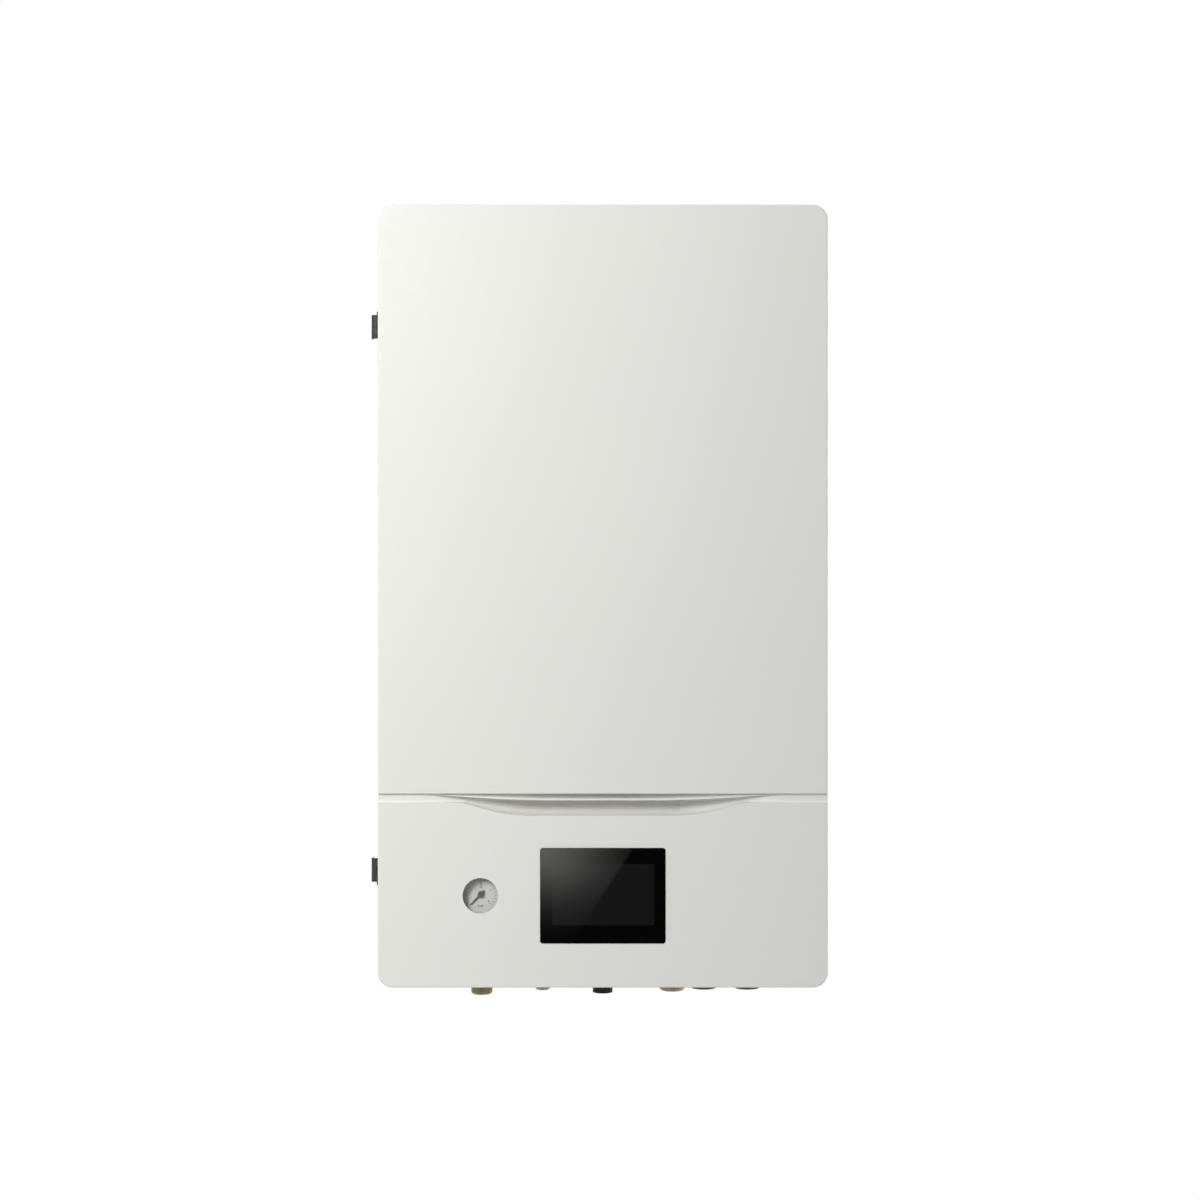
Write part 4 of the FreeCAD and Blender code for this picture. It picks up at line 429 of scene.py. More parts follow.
def metal(name, tone, rough, lines, depth, tarnish=0.75):
    """Worked metal: fine lines along one way, patches of darker tarnish and changing gloss."""
    made = Finish(name, Metallic=1.0)
    patch = made.noise(38, 5)
    fine = made.noise(lines, 3, made.stretched(DRAWN_LINES))
    made.feed("Base Color", made.mixed(made.spread(patch, 0, 1, 0.35, 0.75), shade(tone, 1.04),
                                       shade(tone, tarnish)))
    made.feed("Roughness", made.spread(fine, rough - 0.07, rough + 0.10))
    made.bump(fine, depth)
    return made.material


PLATE_PITCH = 2.8 * MM


def plate_stack(name, tone, braze):
    """Brazed plate pack: a line of copper shows between every two plates on its sides."""
    made = Finish(name, Metallic=1.0)
    across = made.node("ShaderNodeSeparateXYZ", {0: made.place}).outputs[1]
    layer = made.maths("FRACT", made.maths("MULTIPLY", across, 1 / PLATE_PITCH))
    seam = made.spread(made.maths("ABSOLUTE", made.maths("SUBTRACT", layer, 0.5)), 1, 0, 0.05, 0.16)
    patch = made.spread(made.noise(30, 4), 0.1, 0.55)
    steel = made.mixed(patch, shade(tone, 1.05), shade(tone, 0.72))
    made.feed("Base Color", made.mixed(made.maths("MULTIPLY", seam, 0.8), steel, shade(braze, 0.8)))
    made.feed("Roughness", made.spread(made.noise(160, 3), 0.28, 0.46))
    made.bump(made.noise(420, 3), 0.03 * MM)
    return made.material


def casting(name, tone):
    """Coated casting: a sandy skin with soft pits."""
    made = Finish(name, Roughness=0.5)
    sand = made.noise(750, 4)
    pits = made.cells(260)
    cloud = made.spread(made.noise(50, 4), 0, 1)
    made.feed("Base Color", made.mixed(cloud, shade(tone, 0.75), shade(tone, 1.3)))
    made.feed("Roughness", made.spread(sand, 0.42, 0.62))
    made.bump(made.maths("ADD", sand, made.maths("MULTIPLY", pits, 0.5)), 0.12 * MM)
    return made.material


def foam(name, tone):
    """Closed-cell foam: small round cells whose sunken middles are darkened with painted shade, between
    paler walls.
    """
    made = Finish(name, Roughness=0.92)
    cell = made.cells(900)
    wall = made.spread(cell, 0, 1, 0.1, 0.6)
    # painted shade: the cells' sunken middles are darker and their walls paler
    made.feed("Base Color", made.mixed(wall, shade(tone, 0.6), shade(tone, 1.6)))
    made.bump(cell, 0.25 * MM)
    return made.material


BOARD_DEPTH = 13.9 * MM     # from the back of the board's posts to just before its face


def circuit_board(name):
    """Lacquered board: dark tracks on green, and dark blocks for what stands in front of it."""
    made = Finish(name, Roughness=0.35)
    depth = made.node("ShaderNodeSeparateXYZ", {0: made.place}).outputs[1]
    tracks = made.spread(made.cells(140), 0, 1, 0.2, 0.4)
    green = made.mixed(tracks, (0.010, 0.085, 0.035, 1), (0.022, 0.16, 0.06, 1))
    block = made.node("ShaderNodeSeparateColor", {0: made.cells(38, "Color")}).outputs[0]
    parts = made.mixed(block, (0.012, 0.012, 0.013, 1), (0.10, 0.11, 0.13, 1))
    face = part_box("main_board")[1].y - BOARD_DEPTH
    made.feed("Base Color", made.mixed(made.maths("LESS_THAN", depth, face), green, parts))
    made.feed("Roughness", made.spread(made.noise(200, 2), 0.28, 0.45))
    made.bump(tracks, 0.05 * MM)
    return made.material


PICTURE_SHIFT = (0.35 * MM, 1.25 * MM)      # middle of the picture area from the middle of the glass
PICTURE_HALF = (51.0 * MM, 30.5 * MM)
PICTURE_EDGE = 0.4 * MM


def cover_glass(name, border, active):
    """Black glass: the dark picture area shows a little greyer than the printed border round it."""
    made = Finish(name, Roughness=0.03, IOR=1.5)
    place = made.node("ShaderNodeSeparateXYZ", {0: made.place})
    middle = ((GLASS_LOW.x + GLASS_HIGH.x) / 2, (GLASS_LOW.z + GLASS_HIGH.z) / 2)
    inside = None
    for output, centre, shift, half in zip((0, 2), middle, PICTURE_SHIFT, PICTURE_HALF):
        away = made.maths("ABSOLUTE", made.maths("SUBTRACT", place.outputs[output], centre + shift))
        within = made.spread(away, 1, 0, half - PICTURE_EDGE, half + PICTURE_EDGE)
        inside = within if inside is None else made.maths("MULTIPLY", inside, within)
    made.feed("Base Color", made.mixed(inside, shade(border, 1), shade(active, 1)))
    made.feed("Roughness", made.spread(made.noise(24, 3), 0.008, 0.018))
    return made.material


def clear_window(name):
    """Clear plastic window, thin enough to see straight through."""
    made = Finish(name, Base_Color=(0.9, 0.92, 0.92, 1), Roughness=0.06, Alpha=0.05)
    made.feed("Roughness", made.spread(made.noise(60, 3), 0.03, 0.10))
    return made.material


def printed(name, tone, contrast=0.12):
    """Printed or painted plate: an even colour with a faint screen-print grain."""
    made = Finish(name, Roughness=0.5)
    made.feed("Base Color", made.mixed(made.spread(made.noise(1500, 2), 0, 1), shade(tone, 1 - contrast),
                                       shade(tone, 1 + contrast)))
    made.feed("Roughness", made.spread(made.noise(90, 3), 0.42, 0.58))
    made.bump(made.noise(1500, 2), 0.01 * MM)
    return made.material


FINISHES = {}


def make_finishes():
    c = settings().colours
    FINISHES.update({
        "white_steel": coated("white_powder_coat", c.white, 0.50, 850, 0.035 * MM),
        "white_moulding": coated("white_satin_moulding", c.white, 0.52, 1600, 0.02 * MM),
        "galvanised_sheet": galvanised("galvanised_sheet", c.zinc),
        "hinge_black": plastic("hinge_black", (0.026, 0.026, 0.026), 0.55, 1400, 0.006 * MM, 0.4),
        "bright_steel": metal("bright_zinc", c.nickel, 0.30, 500, 0.02 * MM, 0.85),
        "seal_foam": foam("seal_foam", (0.03, 0.03, 0.03)),
        "magnet_dark": casting("ferrite", (0.035, 0.035, 0.035)),
        "board_green": circuit_board("circuit_board"),
        "terminal_grey": plastic("terminal_grey", (0.26, 0.26, 0.24), 0.45, 1200, 0.02 * MM),
        "vessel_red": coated("vessel_red_enamel", c.red, 0.24, 420, 0.06 * MM, 0.12),
        "stainless": metal("drawn_stainless", c.steel, 0.32, 420, 0.02 * MM),
        "element_black": plastic("heat_proof_black", (0.02, 0.02, 0.02), 0.48, 1100, 0.03 * MM),
        "pump_cast": casting("coated_casting", (0.045, 0.046, 0.05)),
        "pump_head": plastic("pump_head_plastic", (0.028, 0.03, 0.033), 0.42, 1000, 0.03 * MM),
        "rotor_steel": metal("turned_steel", c.steel, 0.26, 600, 0.015 * MM),
        "brass": metal("machined_brass", c.brass, 0.30, 460, 0.02 * MM, 0.62),
        "nickel_plate": metal("nickel_plate", c.nickel, 0.22, 400, 0.012 * MM, 0.8),
        "copper": metal("drawn_copper", c.copper, 0.32, 380, 0.02 * MM, 0.55),
        "knob_red": plastic("knob_red", c.red, 0.36, 1200, 0.02 * MM, 0.6),
        "dial_white": printed("dial_plate", c.dial, 0.03),
        "needle_black": printed("needle_paint", c.needle),
        "ink": printed("dial_ink", c.print_grey),
        "crystal": clear_window("dial_window"),
        "gland_grey": plastic("gland_nylon", c.grey_nylon, 0.42, 1300, 0.03 * MM),
        "drain_black": plastic("drain_black", c.black, 0.50, 1100, 0.02 * MM, 0.2),
        "screen_black": cover_glass("screen_glass", c.glass_black, c.screen_off),
        "screen_body": plastic("screen_body", (0.02, 0.02, 0.02), 0.5, 1200, 0.03 * MM),
        "plates": plate_stack("brazed_plates", c.steel, c.copper),
        "solder": metal("solder", (0.55, 0.45, 0.33), 0.38, 300, 0.05 * MM, 0.7),
        # Darker copies of brass and nickel for the connections under the casing, with painted shade in
        # their colour
        "dull_brass": metal("dull_brass", c.dull_brass, 0.42, 460, 0.02 * MM, 0.7),
        "bronze": metal("tarnished_brass", c.bronze, 0.36, 460, 0.02 * MM, 0.62),
        "dull_nickel": metal("dull_nickel", c.dull_nickel, 0.28, 400, 0.012 * MM, 0.6),
    })


# Connections under the casing take the darker copies, with painted shade in their colour
OWN_FINISH = {"plate_heat_exchanger": "plates", "gas_union": "dull_brass", "inlet_strainer": "bronze",
              "water_outlet": "bronze", "liquid_union": "dull_nickel"}


class HEATUNIT_OT_finishes(bpy.types.Operator):
    """Give every solid the finish of its material slot"""
    bl_idname = "heat_unit.finishes"
    bl_label = "Finish the solids"

    def execute(self, context):
        make_finishes()
        for row in frame["record"]["subparts"]:
            name = row["node"]
            mesh = frame["nodes"][name].data
            finish = FINISHES[OWN_FINISH.get(name, row["material_slot"])]
            mesh.materials.clear()
            mesh.materials.append(finish)
        return {"FINISHED"}


# Pressure dial
SCALE_START = math.radians(225)
SCALE_SWEEP = math.radians(270)
TOP = math.radians(90)
BOTTOM = -TOP
INK = 0.06 * MM                         # thickness of the print
SET_MARK = (5.9 * MM, 12.4 * MM)        # inner and outer radius of the grey mark at the top
SET_MARK_WIDTH = 2.4 * MM
SET_MARK_TONE = (0.42, 0.42, 0.39)
UNIT_RADIUS = 11.6 * MM
UNIT_HEIGHT = 3.4 * MM


def on_dial(radius, angle):
    """Points on the dial's face at a radius and an angle, which runs anticlockwise from the right."""
    radius, angle = np.broadcast_arrays(np.asarray(radius, float), np.asarray(angle, float))
    return np.stack([DIAL_CENTRE.x + radius * np.cos(angle), DIAL_FACE + 0 * radius,
                     DIAL_CENTRE.z + radius * np.sin(angle)], axis=-1)


FONT_SIZE = 1.4     # size of the font over the height of its figures


def flat_text(name, words, height, centre):
    """Mesh of upright words on the dial, as thin as print, with its middle at a place."""
    curve = bpy.data.curves.new(name, "FONT")
    curve.body = words
    curve.size = height * FONT_SIZE
    curve.align_x = "CENTER"
    curve.align_y = "CENTER"
    curve.extrude = INK / 2
    curve.resolution_u = 3
    text = bpy.data.objects.new(name, curve)
    bpy.context.scene.collection.objects.link(text)
    bpy.context.view_layer.update()
    shape = text.evaluated_get(bpy.context.evaluated_depsgraph_get())
    mesh = bpy.data.meshes.new_from_object(shape)
    bpy.data.objects.remove(text)
    mesh.transform(Matrix.Translation(centre) @ Matrix.Rotation(math.radians(90), 4, "X"))
    return mesh


class HEATUNIT_OT_dial(bpy.types.Operator):
    """Print the scale, figures and unit on the pressure dial"""
    bl_idname = "heat_unit.dial"
    bl_label = "Pressure dial"

    def execute(self, context):
        g = settings().gauge
        steps = g.numbers * g.divisions
        angle = SCALE_START - SCALE_SWEEP * np.arange(steps + 1) / steps
        numbered = np.arange(steps + 1) % g.divisions == 0
        inner = g.scale_radius - np.where(numbered, g.long_mark, g.short_mark)
        marks = bars(on_dial(inner, angle), on_dial(g.scale_radius, angle), FRONT, g.mark_width, INK)
        ink_finish = FINISHES["ink"]
        add_surface("dial_scale_marks", marks, "cabinet", "needle_black", ink_finish)
        start, end = (on_dial([radius], [TOP]) for radius in SET_MARK)
        set_mark = bars(start, end, FRONT, SET_MARK_WIDTH, INK)
        grey = printed("dial_grey_ink", SET_MARK_TONE)
        add_surface("dial_set_mark", set_mark, "cabinet", "dial_white", grey)
        words = []
        for number in range(g.numbers + 1):
            if number * 2 != g.numbers:     # the set mark takes the middle figure's place
                spot = on_dial(g.figure_radius, SCALE_START - SCALE_SWEEP * number / g.numbers)
                words.append((f"dial_figure_{number}", str(number), g.figure_height, spot))
        words.append(("dial_unit", "bar", UNIT_HEIGHT, on_dial(UNIT_RADIUS, BOTTOM)))
        for name, word, height, spot in words:
            mesh = flat_text(name, word, height, Vector(spot.tolist()))
            add_piece(name, mesh, "cabinet", ink_finish)
        return {"FINISHED"}


# Threads below the casing
THREAD_TIP = 1.2 * MM       # plain end below the thread
THREAD_RUNOUT = 4.5 * MM    # plain length between the thread and the casing
# Piece, its mount, its slot, and the setting that holds the pitch
THREADS = (
    ("gas_union", "gas_connection", "brass", "flare_pitch"),
    ("liquid_union", "liquid_connection", "nickel_plate", "flare_pitch"),
    ("inlet_strainer", "water_inlet", "brass", "water_pitch"),
    ("water_outlet", "water_outlet", "brass", "water_pitch"),
)


class HEATUNIT_OT_threads(bpy.types.Operator):
    """Cut threads on the four connections under the casing"""
    bl_idname = "heat_unit.threads"
    bl_label = "Threads"

    def execute(self, context):
        t = settings().thread
        case_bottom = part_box("bottom_panel")[0].z
        mounts = {row["name"]: row for row in frame["record"]["mounts"]}
        for node, mount, slot, pitch in THREADS:
            x, y, _ = mounts[mount]["pos_m"]
            radius = mounts[mount]["dims"]["r_mm"] * MM
            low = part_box(node)[0].z + THREAD_TIP
            shape = thread(x, y, low, case_bottom - THREAD_RUNOUT, radius, getattr(t, pitch), t.height)
            # the connections' own finishes carry painted shade
            finish = FINISHES[OWN_FINISH.get(node, slot)]
            add_surface(f"{node}_thread", shape, "cabinet", slot, finish, wrap_v=True, sharp=60)
        return {"FINISHED"}


# Screws
HEAD_SINK = 0.3 * MM        # how far a head's underside lies inside what it is screwed to
HEAD_RIM = 0.35             # height of a head's upright rim as a share of the whole
HEAD_FULLNESS = 0.6         # below one, the dome is fuller than a circle


def pan_heads(name, centres, axes, diameter, height, body, slot="bright_steel"):
    """Pan-head screws: a domed profile turned about each axis, closed underneath by its own middle."""
    arc = np.linspace(0, math.pi / 2, 6)
    radius = diameter / 2
    dome = [(radius * math.cos(a) ** HEAD_FULLNESS, height * (HEAD_RIM + (1 - HEAD_RIM) * math.sin(a)))
            for a in arc]
    profile = [(0, -HEAD_SINK), (radius, -HEAD_SINK)] + dome[:-1] + [(0, height)]
    add_surface(name, turned(profile, centres, axes, segments=20), body, slot, sharp=50)


CROSS_DEPTH = 0.25 * MM
CROSS_PROUD = 0.01 * MM     # how far a cross stands before the head, so that it is seen


def crosses(name, tops, axes, size, width, body):
    """Painted shade of cross recesses: two dark bars square to each other, all but level with each head."""
    tops, axes = np.asarray(tops, float), np.broadcast_to(np.asarray(axes, float), np.shape(tops))
    first, second = cross_axes(axes)
    middle = tops + axes * (CROSS_PROUD - CROSS_DEPTH / 2)
    shape = np.concatenate([bars(middle - way * size / 2, middle + way * size / 2, axes, width, CROSS_DEPTH)
                            for way in (first, second)])
    # dark bars of painted shade where the cross recess would be
    add_surface(name, shape, body, "hinge_black")


# A head is given by its diameter and height, a cross by its size and width, a slot also by its depth
HINGE_SCREW_IN = 12 * MM            # hinge screws from the leaf's free edge
HINGE_SCREW_APART = 14 * MM
HINGE_CROSS_SHARE = 0.55            # size of a cross over that of its head
CASING_SCREW_Y = (-60 * MM, -185 * MM)
CASING_SCREW_RADIUS = 4 * MM
CASING_CROSS = (4.4 * MM, 0.9 * MM)
COVER_SCREW_IN = 14 * MM            # cover screws from both edges
COVER_HEAD = (7.6 * MM, 1.9 * MM)
COVER_CROSS = (4.2 * MM, 0.9 * MM)
TERMINALS = 14
TERMINAL_PITCH = 14 * MM
TERMINAL_SINK = 6.0 * MM            # heads behind the block's front
TERMINAL_DROP = 10 * MM             # heads below the block's top
TERMINAL_HEAD = (5.8 * MM, 1.2 * MM)
TERMINAL_SLOT = (4.4 * MM, 0.8 * MM, 0.2 * MM)


class HEATUNIT_OT_screws(bpy.types.Operator):
    """Add the screws of the hinges, the casing, the cover and the terminals"""
    bl_idname = "heat_unit.screws"
    bl_label = "Screws"

    def execute(self, context):
        f = settings().fastener
        for leaf, body in (("hinge_upper_door_leaf", "door"), ("hinge_lower_door_leaf", "door"),
                           ("hinge_upper_case_leaf", "cabinet"), ("hinge_lower_case_leaf", "cabinet")):
            low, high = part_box(leaf)
            face = high.x - f.leaf
            middle_y = low.y + HINGE_SCREW_IN if body == "door" else high.y - HINGE_SCREW_IN
            middle_z = (low.z + high.z) / 2
            spots = [(face, middle_y, middle_z + side * HINGE_SCREW_APART / 2) for side in (-1, 1)]
            pan_heads(f"{leaf}_screws", spots, LEFT, f.head, f.dome, body, "hinge_black")
            tops = [(x - f.dome, y, z) for x, y, z in spots]
            crosses(f"{leaf}_crosses", tops, LEFT, f.head * HINGE_CROSS_SHARE, f.slot_width, body)
        low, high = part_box("casing_screws")
        tops, axes = [], []
        for x, axis in ((low.x, LEFT), (high.x, RIGHT)):
            for y in CASING_SCREW_Y:
                for z in (low.z + CASING_SCREW_RADIUS, high.z - CASING_SCREW_RADIUS):
                    tops.append((x, y, z))
                    axes.append(axis)
        crosses("casing_screw_crosses", tops, axes, *CASING_CROSS, "cabinet")
        low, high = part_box("control_box_cover")
        spots = [(x, low.y, z) for x in (low.x + COVER_SCREW_IN, high.x - COVER_SCREW_IN)
                 for z in (low.z + COVER_SCREW_IN, high.z - COVER_SCREW_IN)]
        pan_heads("cover_screws", spots, FRONT, *COVER_HEAD, "cabinet")
        tops = [(x, y - COVER_HEAD[1], z) for x, y, z in spots]
        crosses("cover_screw_crosses", tops, FRONT, *COVER_CROSS, "cabinet")
        low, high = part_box("terminal_block")
        across = low.x + TERMINAL_PITCH * (np.arange(TERMINALS) + 0.5)
        spots = [(x, low.y + TERMINAL_SINK, high.z - TERMINAL_DROP) for x in across]
        pan_heads("terminal_screws", spots, FRONT, *TERMINAL_HEAD, "cabinet")
        tops = np.array(spots) + (0, -TERMINAL_HEAD[1], 0)
        slot_length, slot_width, slot_depth = TERMINAL_SLOT
        half = np.array((slot_length / 2, 0, 0))
        # dark bars of painted shade where the screw slots would be
        slots = bars(tops - half, tops + half, FRONT, slot_width, slot_depth)
        add_surface("terminal_screw_slots", slots, "cabinet", "hinge_black")
        return {"FINISHED"}


# Soldered joints of the copper pipes, in millimetres: place, direction away from the socket, pipe radius
SOLDERED = (
    ((-128.0, -150.0, -688.0), (0, 0, 1), 7.94),
    ((-165.0, -136.6, -280.0), (0, -1, 0), 7.94),
    ((-63.5, -150.0, -688.0), (0, 0, 1), 4.76),
    ((-165.0, -136.6, -520.0), (0, -1, 0), 4.76),
    ((-40.0, -76.0, -239.0), (0, 0, -1), 5.0),
)
# Section of the filler, in millimetres: out from the pipe's skin, along the pipe
FILLET = ((-0.4, 0.0), (2.2, 0.0), (1.9, 0.5), (0.9, 1.1), (0.4, 2.0), (0.1, 3.0), (-0.4, 3.0))


class HEATUNIT_OT_joints(bpy.types.Operator):
    """Run filler round the soldered joints of the copper pipes"""
    bl_idname = "heat_unit.joints"
    bl_label = "Soldered joints"

    def execute(self, context):
        sheets = []
        for place, axis, radius in SOLDERED:
            profile = [((radius + out) * MM, along * MM) for out, along in FILLET]
            sheets.append(turned(profile, np.array(place) * MM, axis, segments=40)[0])
        solder = FINISHES["solder"]
        add_surface("solder_fillets", sheets, "cabinet", "copper", solder, wrap_v=True, sharp=60)
        return {"FINISHED"}


# Cable glands
RIB_TOP_CLEAR = 0.5 * MM    # gap between the ribs and the casing


class HEATUNIT_OT_glands(bpy.types.Operator):
    """Mould the grip ribs of the cable glands"""
    bl_idname = "heat_unit.glands"
    bl_label = "Gland ribs"

    def execute(self, context):
        g = settings().gland
        for node in ("cable_gland_power", "cable_gland_signal"):
            low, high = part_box(node)
            middle = np.array([(low.x + high.x) / 2, (low.y + high.y) / 2])
            turn = even_turn(g.ribs)
            out = np.stack([np.cos(turn), np.sin(turn), 0 * turn], axis=-1)
            foot = np.append(middle, 0) + out * g.radius
            lower = foot + (0, 0, low.z + g.rib_clear)
            upper = foot + (0, 0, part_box("bottom_panel")[0].z - RIB_TOP_CLEAR)
            ribs = bars(lower, upper, out, g.rib_width, 2 * g.rib_height)
            add_surface(f"{node}_ribs", ribs, "cabinet", "gland_grey")
        return {"FINISHED"}


# Pump head
RIM_IN = 6 * MM                     # raised rim from the head's edge
RIM_BAND = 3 * MM
RIM_RISE = 1.2 * MM
HEAD_RIBS = 9
HEAD_RIB_SPAN = 40 * MM             # height of the whole row of ribs
HEAD_RIB_LEFT = 30 * MM             # left end of the ribs from the head's middle
HEAD_RIB = (22 * MM, 2.0 * MM, 1.6 * MM)
CAP_RIGHT = 16 * MM                 # round cap from the head's middle
# Section of the cap, in millimetres: radius, distance before the face
CAP = ((0, -0.3), (9, -0.3), (9, 1.4), (8, 2.0), (7.4, 1.2), (4, 1.6), (0, 1.7))
HEAD_SCREW_IN = 14 * MM             # screws from both edges
HEAD_SCREW = (5.6 * MM, 1.3 * MM)
HEAD_CROSS = (3.2 * MM, 0.8 * MM)


class HEATUNIT_OT_pump_head(bpy.types.Operator):
    """Mould the rim, the ribs and the cap of the pump's electronics head, and add its screws"""
    bl_idname = "heat_unit.pump_head"
    bl_label = "Pump head"

    def execute(self, context):
        low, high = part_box("pump_motor")
        centre = np.array([(low.x + high.x) / 2, low.y, (low.z + high.z) / 2])
        half_width, half_height = (high.x - low.x) / 2, (high.z - low.z) / 2
        rim = rounded_frame(centre, half_width - RIM_IN, half_height - RIM_IN, RIM_BAND, RIM_RISE)
        add_surface("pump_head_rim", rim, "cabinet", "pump_head", wrap_v=True, sharp=50)
        rows = centre[2] + np.linspace(-0.5, 0.5, HEAD_RIBS) * HEAD_RIB_SPAN
        starts = np.stack([centre[0] - HEAD_RIB_LEFT + 0 * rows, centre[1] + 0 * rows, rows], axis=-1)
        rib_length, rib_width, rib_depth = HEAD_RIB
        ribs = bars(starts, starts + (rib_length, 0, 0), FRONT, rib_width, rib_depth)
        add_surface("pump_head_ribs", ribs, "cabinet", "pump_head")
        cap = turned(np.array(CAP) * MM, centre + (CAP_RIGHT, 0, 0), FRONT, segments=48)
        add_surface("pump_head_cap", cap, "cabinet", "pump_head", FINISHES["element_black"])
        screw_x, screw_z = half_width - HEAD_SCREW_IN, half_height - HEAD_SCREW_IN
        spots = [centre + (side * screw_x, 0, end * screw_z) for side in (-1, 1) for end in (-1, 1)]
        pan_heads("pump_head_screws", spots, FRONT, *HEAD_SCREW, "cabinet")
        tops = np.array(spots) - (0, HEAD_SCREW[1], 0)
        crosses("pump_head_crosses", tops, FRONT, *HEAD_CROSS, "cabinet")
        return {"FINISHED"}


# Back and cover
RIVET_IN = 8 * MM           # rivets from the panel's edge
RIVET_END = 30 * MM         # first and last rivet of a row from the panel's corners
RIVETS_TALL = 7
RIVETS_WIDE = 5
RIVET_HEAD = (6.5 * MM, 1.1 * MM)


class HEATUNIT_OT_rivets(bpy.types.Operator):
    """Set the rivets that hold the back panel"""
    bl_idname = "heat_unit.rivets"
    bl_label = "Rivets"

    def execute(self, context):
        low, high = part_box("back_panel")
        tall = np.linspace(low.z + RIVET_END, high.z - RIVET_END, RIVETS_TALL)
        wide = np.linspace(low.x + RIVET_END, high.x - RIVET_END, RIVETS_WIDE)
        spots = [(x, high.y, z) for x in (low.x + RIVET_IN, high.x - RIVET_IN) for z in tall]
        spots += [(x, high.y, z) for x in wide for z in (low.z + RIVET_IN, high.z - RIVET_IN)]
        pan_heads("back_rivets", spots, BACK, *RIVET_HEAD, "cabinet")
        return {"FINISHED"}


LOUVRE_X = (-120 * MM, 120 * MM)
LOUVRE_END = 34 * MM        # first and last louvre from the cover's edges
LOUVRES = 8
LOUVRE_HALF = (26 * MM, 2.6 * MM)
LOUVRE_RISE = 2.2 * MM


class HEATUNIT_OT_pressings(bpy.types.Operator):
    """Press the louvres into the cover of the electrics"""
    bl_idname = "heat_unit.pressings"
    bl_label = "Pressings"

    def execute(self, context):
        low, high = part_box("control_box_cover")
        rows = np.linspace(low.z + LOUVRE_END, high.z - LOUVRE_END, LOUVRES)
        centres = [(x, low.y, z) for x in LOUVRE_X for z in rows]
        shape = domes(centres, *LOUVRE_HALF, LOUVRE_RISE)
        add_surface("cover_louvres", shape, "cabinet", "galvanised_sheet")
        return {"FINISHED"}


# Relief valve's knob
POINTER_REACH = (3 * MM, 11 * MM)   # lower and upper end of the pointer above the knob's middle
POINTER_WIDTH = 2.2 * MM
POINTER_DEPTH = 0.8 * MM
POINTER_TONE = (0.72, 0.72, 0.70)


class HEATUNIT_OT_knob_pointer(bpy.types.Operator):
    """Set a white pointer on the face of the relief valve's knob"""
    bl_idname = "heat_unit.knob_pointer"
    bl_label = "Knob pointer"

    def execute(self, context):
        low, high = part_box("relief_knob")
        middle = np.array([(low.x + high.x) / 2, low.y, (low.z + high.z) / 2])
        start, end = (middle + (0, 0, reach) for reach in POINTER_REACH)
        shape = bars([start], [end], FRONT, POINTER_WIDTH, POINTER_DEPTH)
        paint = printed("pointer_paint", POINTER_TONE)
        add_surface("knob_pointer", shape, "relief_knob", "dial_white", paint)
        return {"FINISHED"}


# Stage
SKY_LEAN = 0.35     # share by which the even light is stronger above and weaker below


def stage_world(ambient):
    """White surround for the camera and mirrors, and a softer sky, brighter above, for the light."""
    world = bpy.data.worlds.new("studio")
    tree = Tree(world)
    way = tree.node("ShaderNodeTexCoord").outputs["Generated"]
    up = tree.node("ShaderNodeSeparateXYZ", {0: way}).outputs["Z"]
    sky = tree.spread(up, ambient * (1 - SKY_LEAN), ambient * (1 + SKY_LEAN), -1.0, 1.0)
    background = tree.nodes["Background"].inputs
    background["Color"].default_value = (1, 1, 1, 1)
    tree.links.new(tree.spread(tree.seen(), sky, 1.0, 0.0, 1.0), background["Strength"])
    bpy.context.scene.world = world


FLOOR_RADIUS = 1.6
FLOOR_GREY = 0.78
FLOOR_FADE = (0.55, 0.95)   # distances from the middle between which the floor turns white
FLOOR_WHITE = 0.55          # share of white within the first distance


def stage_floor(height, rings=25, segments=96):
    """Round pale floor, a disc of radius and turn, that fades to white towards its edge."""
    radius = np.linspace(0, FLOOR_RADIUS, rings)[:, None]
    angle = even_turn(segments)
    shape = np.stack([radius * np.cos(angle), radius * np.sin(angle), height + 0 * radius * angle], axis=-1)
    floor = bpy.data.objects.new("floor", surface_mesh("floor", shape))
    bpy.context.scene.collection.objects.link(floor)
    made = Finish("floor", Base_Color=(FLOOR_GREY, FLOOR_GREY, FLOOR_GREY, 1), Roughness=0.9)
    flat = made.vectors("MULTIPLY", made.place, (1, 1, 0)).outputs[0]
    away = made.vectors("LENGTH", flat).outputs["Value"]
    share = made.spread(away, FLOOR_WHITE, 1.0, *FLOOR_FADE)
    white = made.node("ShaderNodeEmission", {"Color": (1, 1, 1, 1), "Strength": 1.0})
    factor = made.maths("MULTIPLY", share, made.seen())
    mix = made.node("ShaderNodeMixShader", {0: factor, 1: made.shader.outputs[0], 2: white.outputs[0]})
    made.links.new(mix.outputs[0], made.nodes["Material Output"].inputs["Surface"])
    floor.data.materials.append(made.material)


CARD_X = (-0.7, 0.7)
CARD_Z = (-1.25, -0.55)
CARD_LEVEL = 0.02               # light of the dark part
SHEEN_LEVEL = 2.5               # light of the pale corner at its brightest
SHEEN_TINT = (1, 1, 0.95, 1)
SHEEN_EDGE = (0.061, -0.821)    # a point on the slanted edge, across and up
SHEEN_WAY = (-0.839, 0, 0.544)  # from that edge into the pale corner
SHEEN_SOFT = (-0.002, 0.004)    # the edge's blur, measured that way
SHEEN_MIDDLE = (-0.130, -0.810)
SHEEN_REACH = (0.12, 1.0, 0.088)
BELL = 0.36788                  # one over e: the sheen falls off as a bell curve


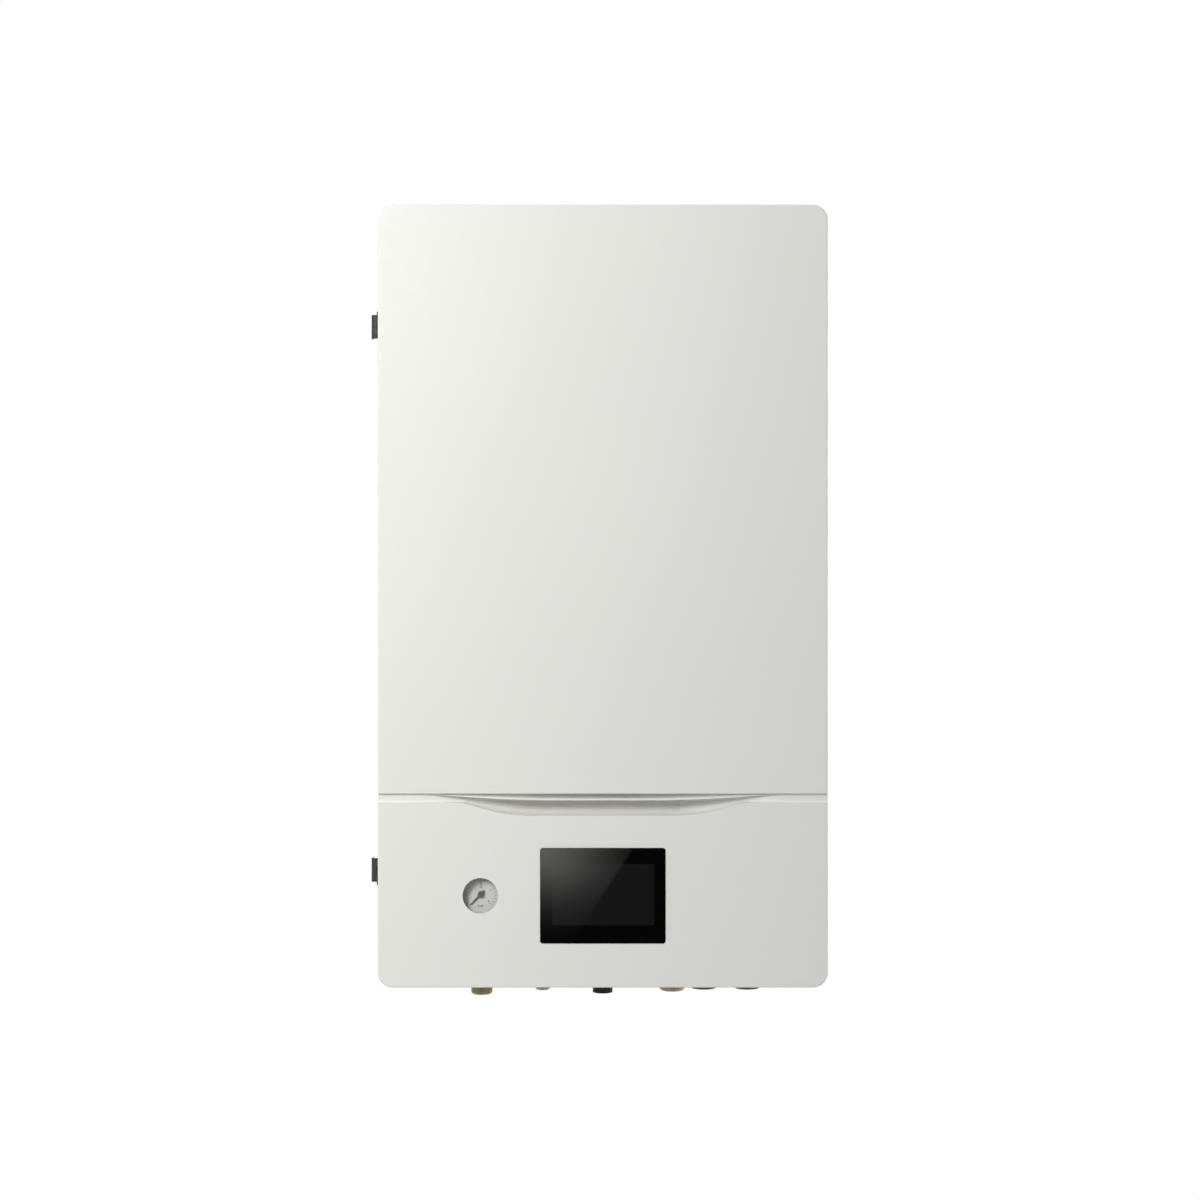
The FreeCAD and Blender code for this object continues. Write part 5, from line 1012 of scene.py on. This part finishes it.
def stage_flag(camera_y):
    """Flat dark card below the camera, seen only in mirrors: its pale corner is the screen's sheen."""
    across, tall = np.meshgrid(np.linspace(*CARD_X, 3), np.linspace(*CARD_Z, 3))
    shape = np.stack([across, camera_y + 0 * across, tall], axis=-1)
    card = bpy.data.objects.new("studio_card", surface_mesh("studio_card", shape, wrap_u=False))
    bpy.context.scene.collection.objects.link(card)
    made = Finish("studio_card")
    start = made.vectors("SUBTRACT", made.place, (SHEEN_EDGE[0], camera_y, SHEEN_EDGE[1])).outputs[0]
    side = made.vectors("DOT_PRODUCT", start, SHEEN_WAY).outputs["Value"]
    edge = made.spread(side, 0, 1, *SHEEN_SOFT)
    away = made.vectors("SUBTRACT", made.place, (SHEEN_MIDDLE[0], camera_y, SHEEN_MIDDLE[1])).outputs[0]
    reach = made.vectors("DIVIDE", away, SHEEN_REACH).outputs[0]
    square = made.vectors("DOT_PRODUCT", reach, reach).outputs["Value"]
    sheen = made.maths("MULTIPLY", edge, made.maths("POWER", BELL, square))
    level = made.maths("ADD", made.maths("MULTIPLY", sheen, SHEEN_LEVEL), CARD_LEVEL)
    glow = made.node("ShaderNodeEmission", {"Color": SHEEN_TINT, "Strength": level})
    made.links.new(glow.outputs[0], made.nodes["Material Output"].inputs["Surface"])
    card.data.materials.append(made.material)
    for ray in ("camera", "diffuse", "transmission", "volume_scatter", "shadow"):
        setattr(card, f"visible_{ray}", False)


LAMP_SIZE = 1.2
# Name, setting that holds the power, place, and the point faced. The key lamp faces past the unit on its
# left, so the front gets less light towards its lower right.
LAMPS = (
    ("key_lamp", "key_power", (-1.3, -2.6, 0.85), (-2.74, DOOR_FRONT, 0.38)),
    ("side_lamp", "side_power", (1.60, 0.75, -0.20), (0, -0.12, -0.32)),
    ("back_lamp", "back_power", (-0.95, 1.90, -0.20), (-0.2, -0.12, -0.32)),
)
CAMERA_X = -2.8 * MM
CAMERA_Z = -0.3204


def add_lamp(name, place, target, power):
    lamp = bpy.data.lights.new(name, "AREA")
    lamp.shape = "SQUARE"
    lamp.size = LAMP_SIZE
    lamp.energy = power
    item = bpy.data.objects.new(name, lamp)
    item.location = place
    item.rotation_euler = (Vector(target) - Vector(place)).to_track_quat("-Z", "Y").to_euler()
    item.visible_camera = False
    bpy.context.scene.collection.objects.link(item)


class HEATUNIT_OT_stage(bpy.types.Operator):
    """Set up the floor, the light and the camera"""
    bl_idname = "heat_unit.stage"
    bl_label = "Floor, light and camera"

    def execute(self, context):
        s = settings().stage
        scene = context.scene
        scene.view_settings.view_transform = "Standard"
        camera_y = DOOR_FRONT - s.camera_distance
        stage_world(s.ambient)
        stage_floor(s.floor_height)
        stage_flag(camera_y)
        for name, power, place, target in LAMPS:
            add_lamp(name, place, target, getattr(s, power))
        camera = bpy.data.objects.new("camera", bpy.data.cameras.new("camera"))
        camera.location = (CAMERA_X, camera_y, CAMERA_Z)
        camera.rotation_euler = (math.pi / 2, 0, 0)
        camera.data.sensor_fit = "HORIZONTAL"
        camera.data.angle = 2 * math.atan(s.frame_width / 2 / s.camera_distance)
        scene.collection.objects.link(camera)
        scene.camera = camera
        return {"FINISHED"}


class HEATUNIT_PT_build(bpy.types.Panel):
    """Steps that dress the unit"""
    bl_label = "Heat pump unit"
    bl_idname = "HEATUNIT_PT_build"
    bl_space_type = "VIEW_3D"
    bl_region_type = "UI"
    bl_category = "Heat pump"

    def draw(self, context):
        for step in STEPS:
            self.layout.operator(step.bl_idname)


STEPS = (HEATUNIT_OT_finishes, HEATUNIT_OT_dial, HEATUNIT_OT_threads, HEATUNIT_OT_screws,
         HEATUNIT_OT_joints, HEATUNIT_OT_glands, HEATUNIT_OT_pump_head, HEATUNIT_OT_rivets,
         HEATUNIT_OT_pressings, HEATUNIT_OT_knob_pointer, HEATUNIT_OT_stage)
GROUPS = (UnitColours, GaugeSizes, ThreadSizes, FastenerSizes, GlandSizes, StageSizes, UnitSettings)
CLASSES = GROUPS + STEPS + (HEATUNIT_PT_build,)


def register():
    for item in CLASSES:
        bpy.utils.register_class(item)
    bpy.types.Scene.heat_unit = PointerProperty(type=UnitSettings)


def unregister():
    del bpy.types.Scene.heat_unit
    for item in reversed(CLASSES):
        bpy.utils.unregister_class(item)


def main():
    register()
    for step in STEPS:
        group, name = step.bl_idname.split(".")
        getattr(getattr(bpy.ops, group), name)()


if __name__ == "__main__":
    main()
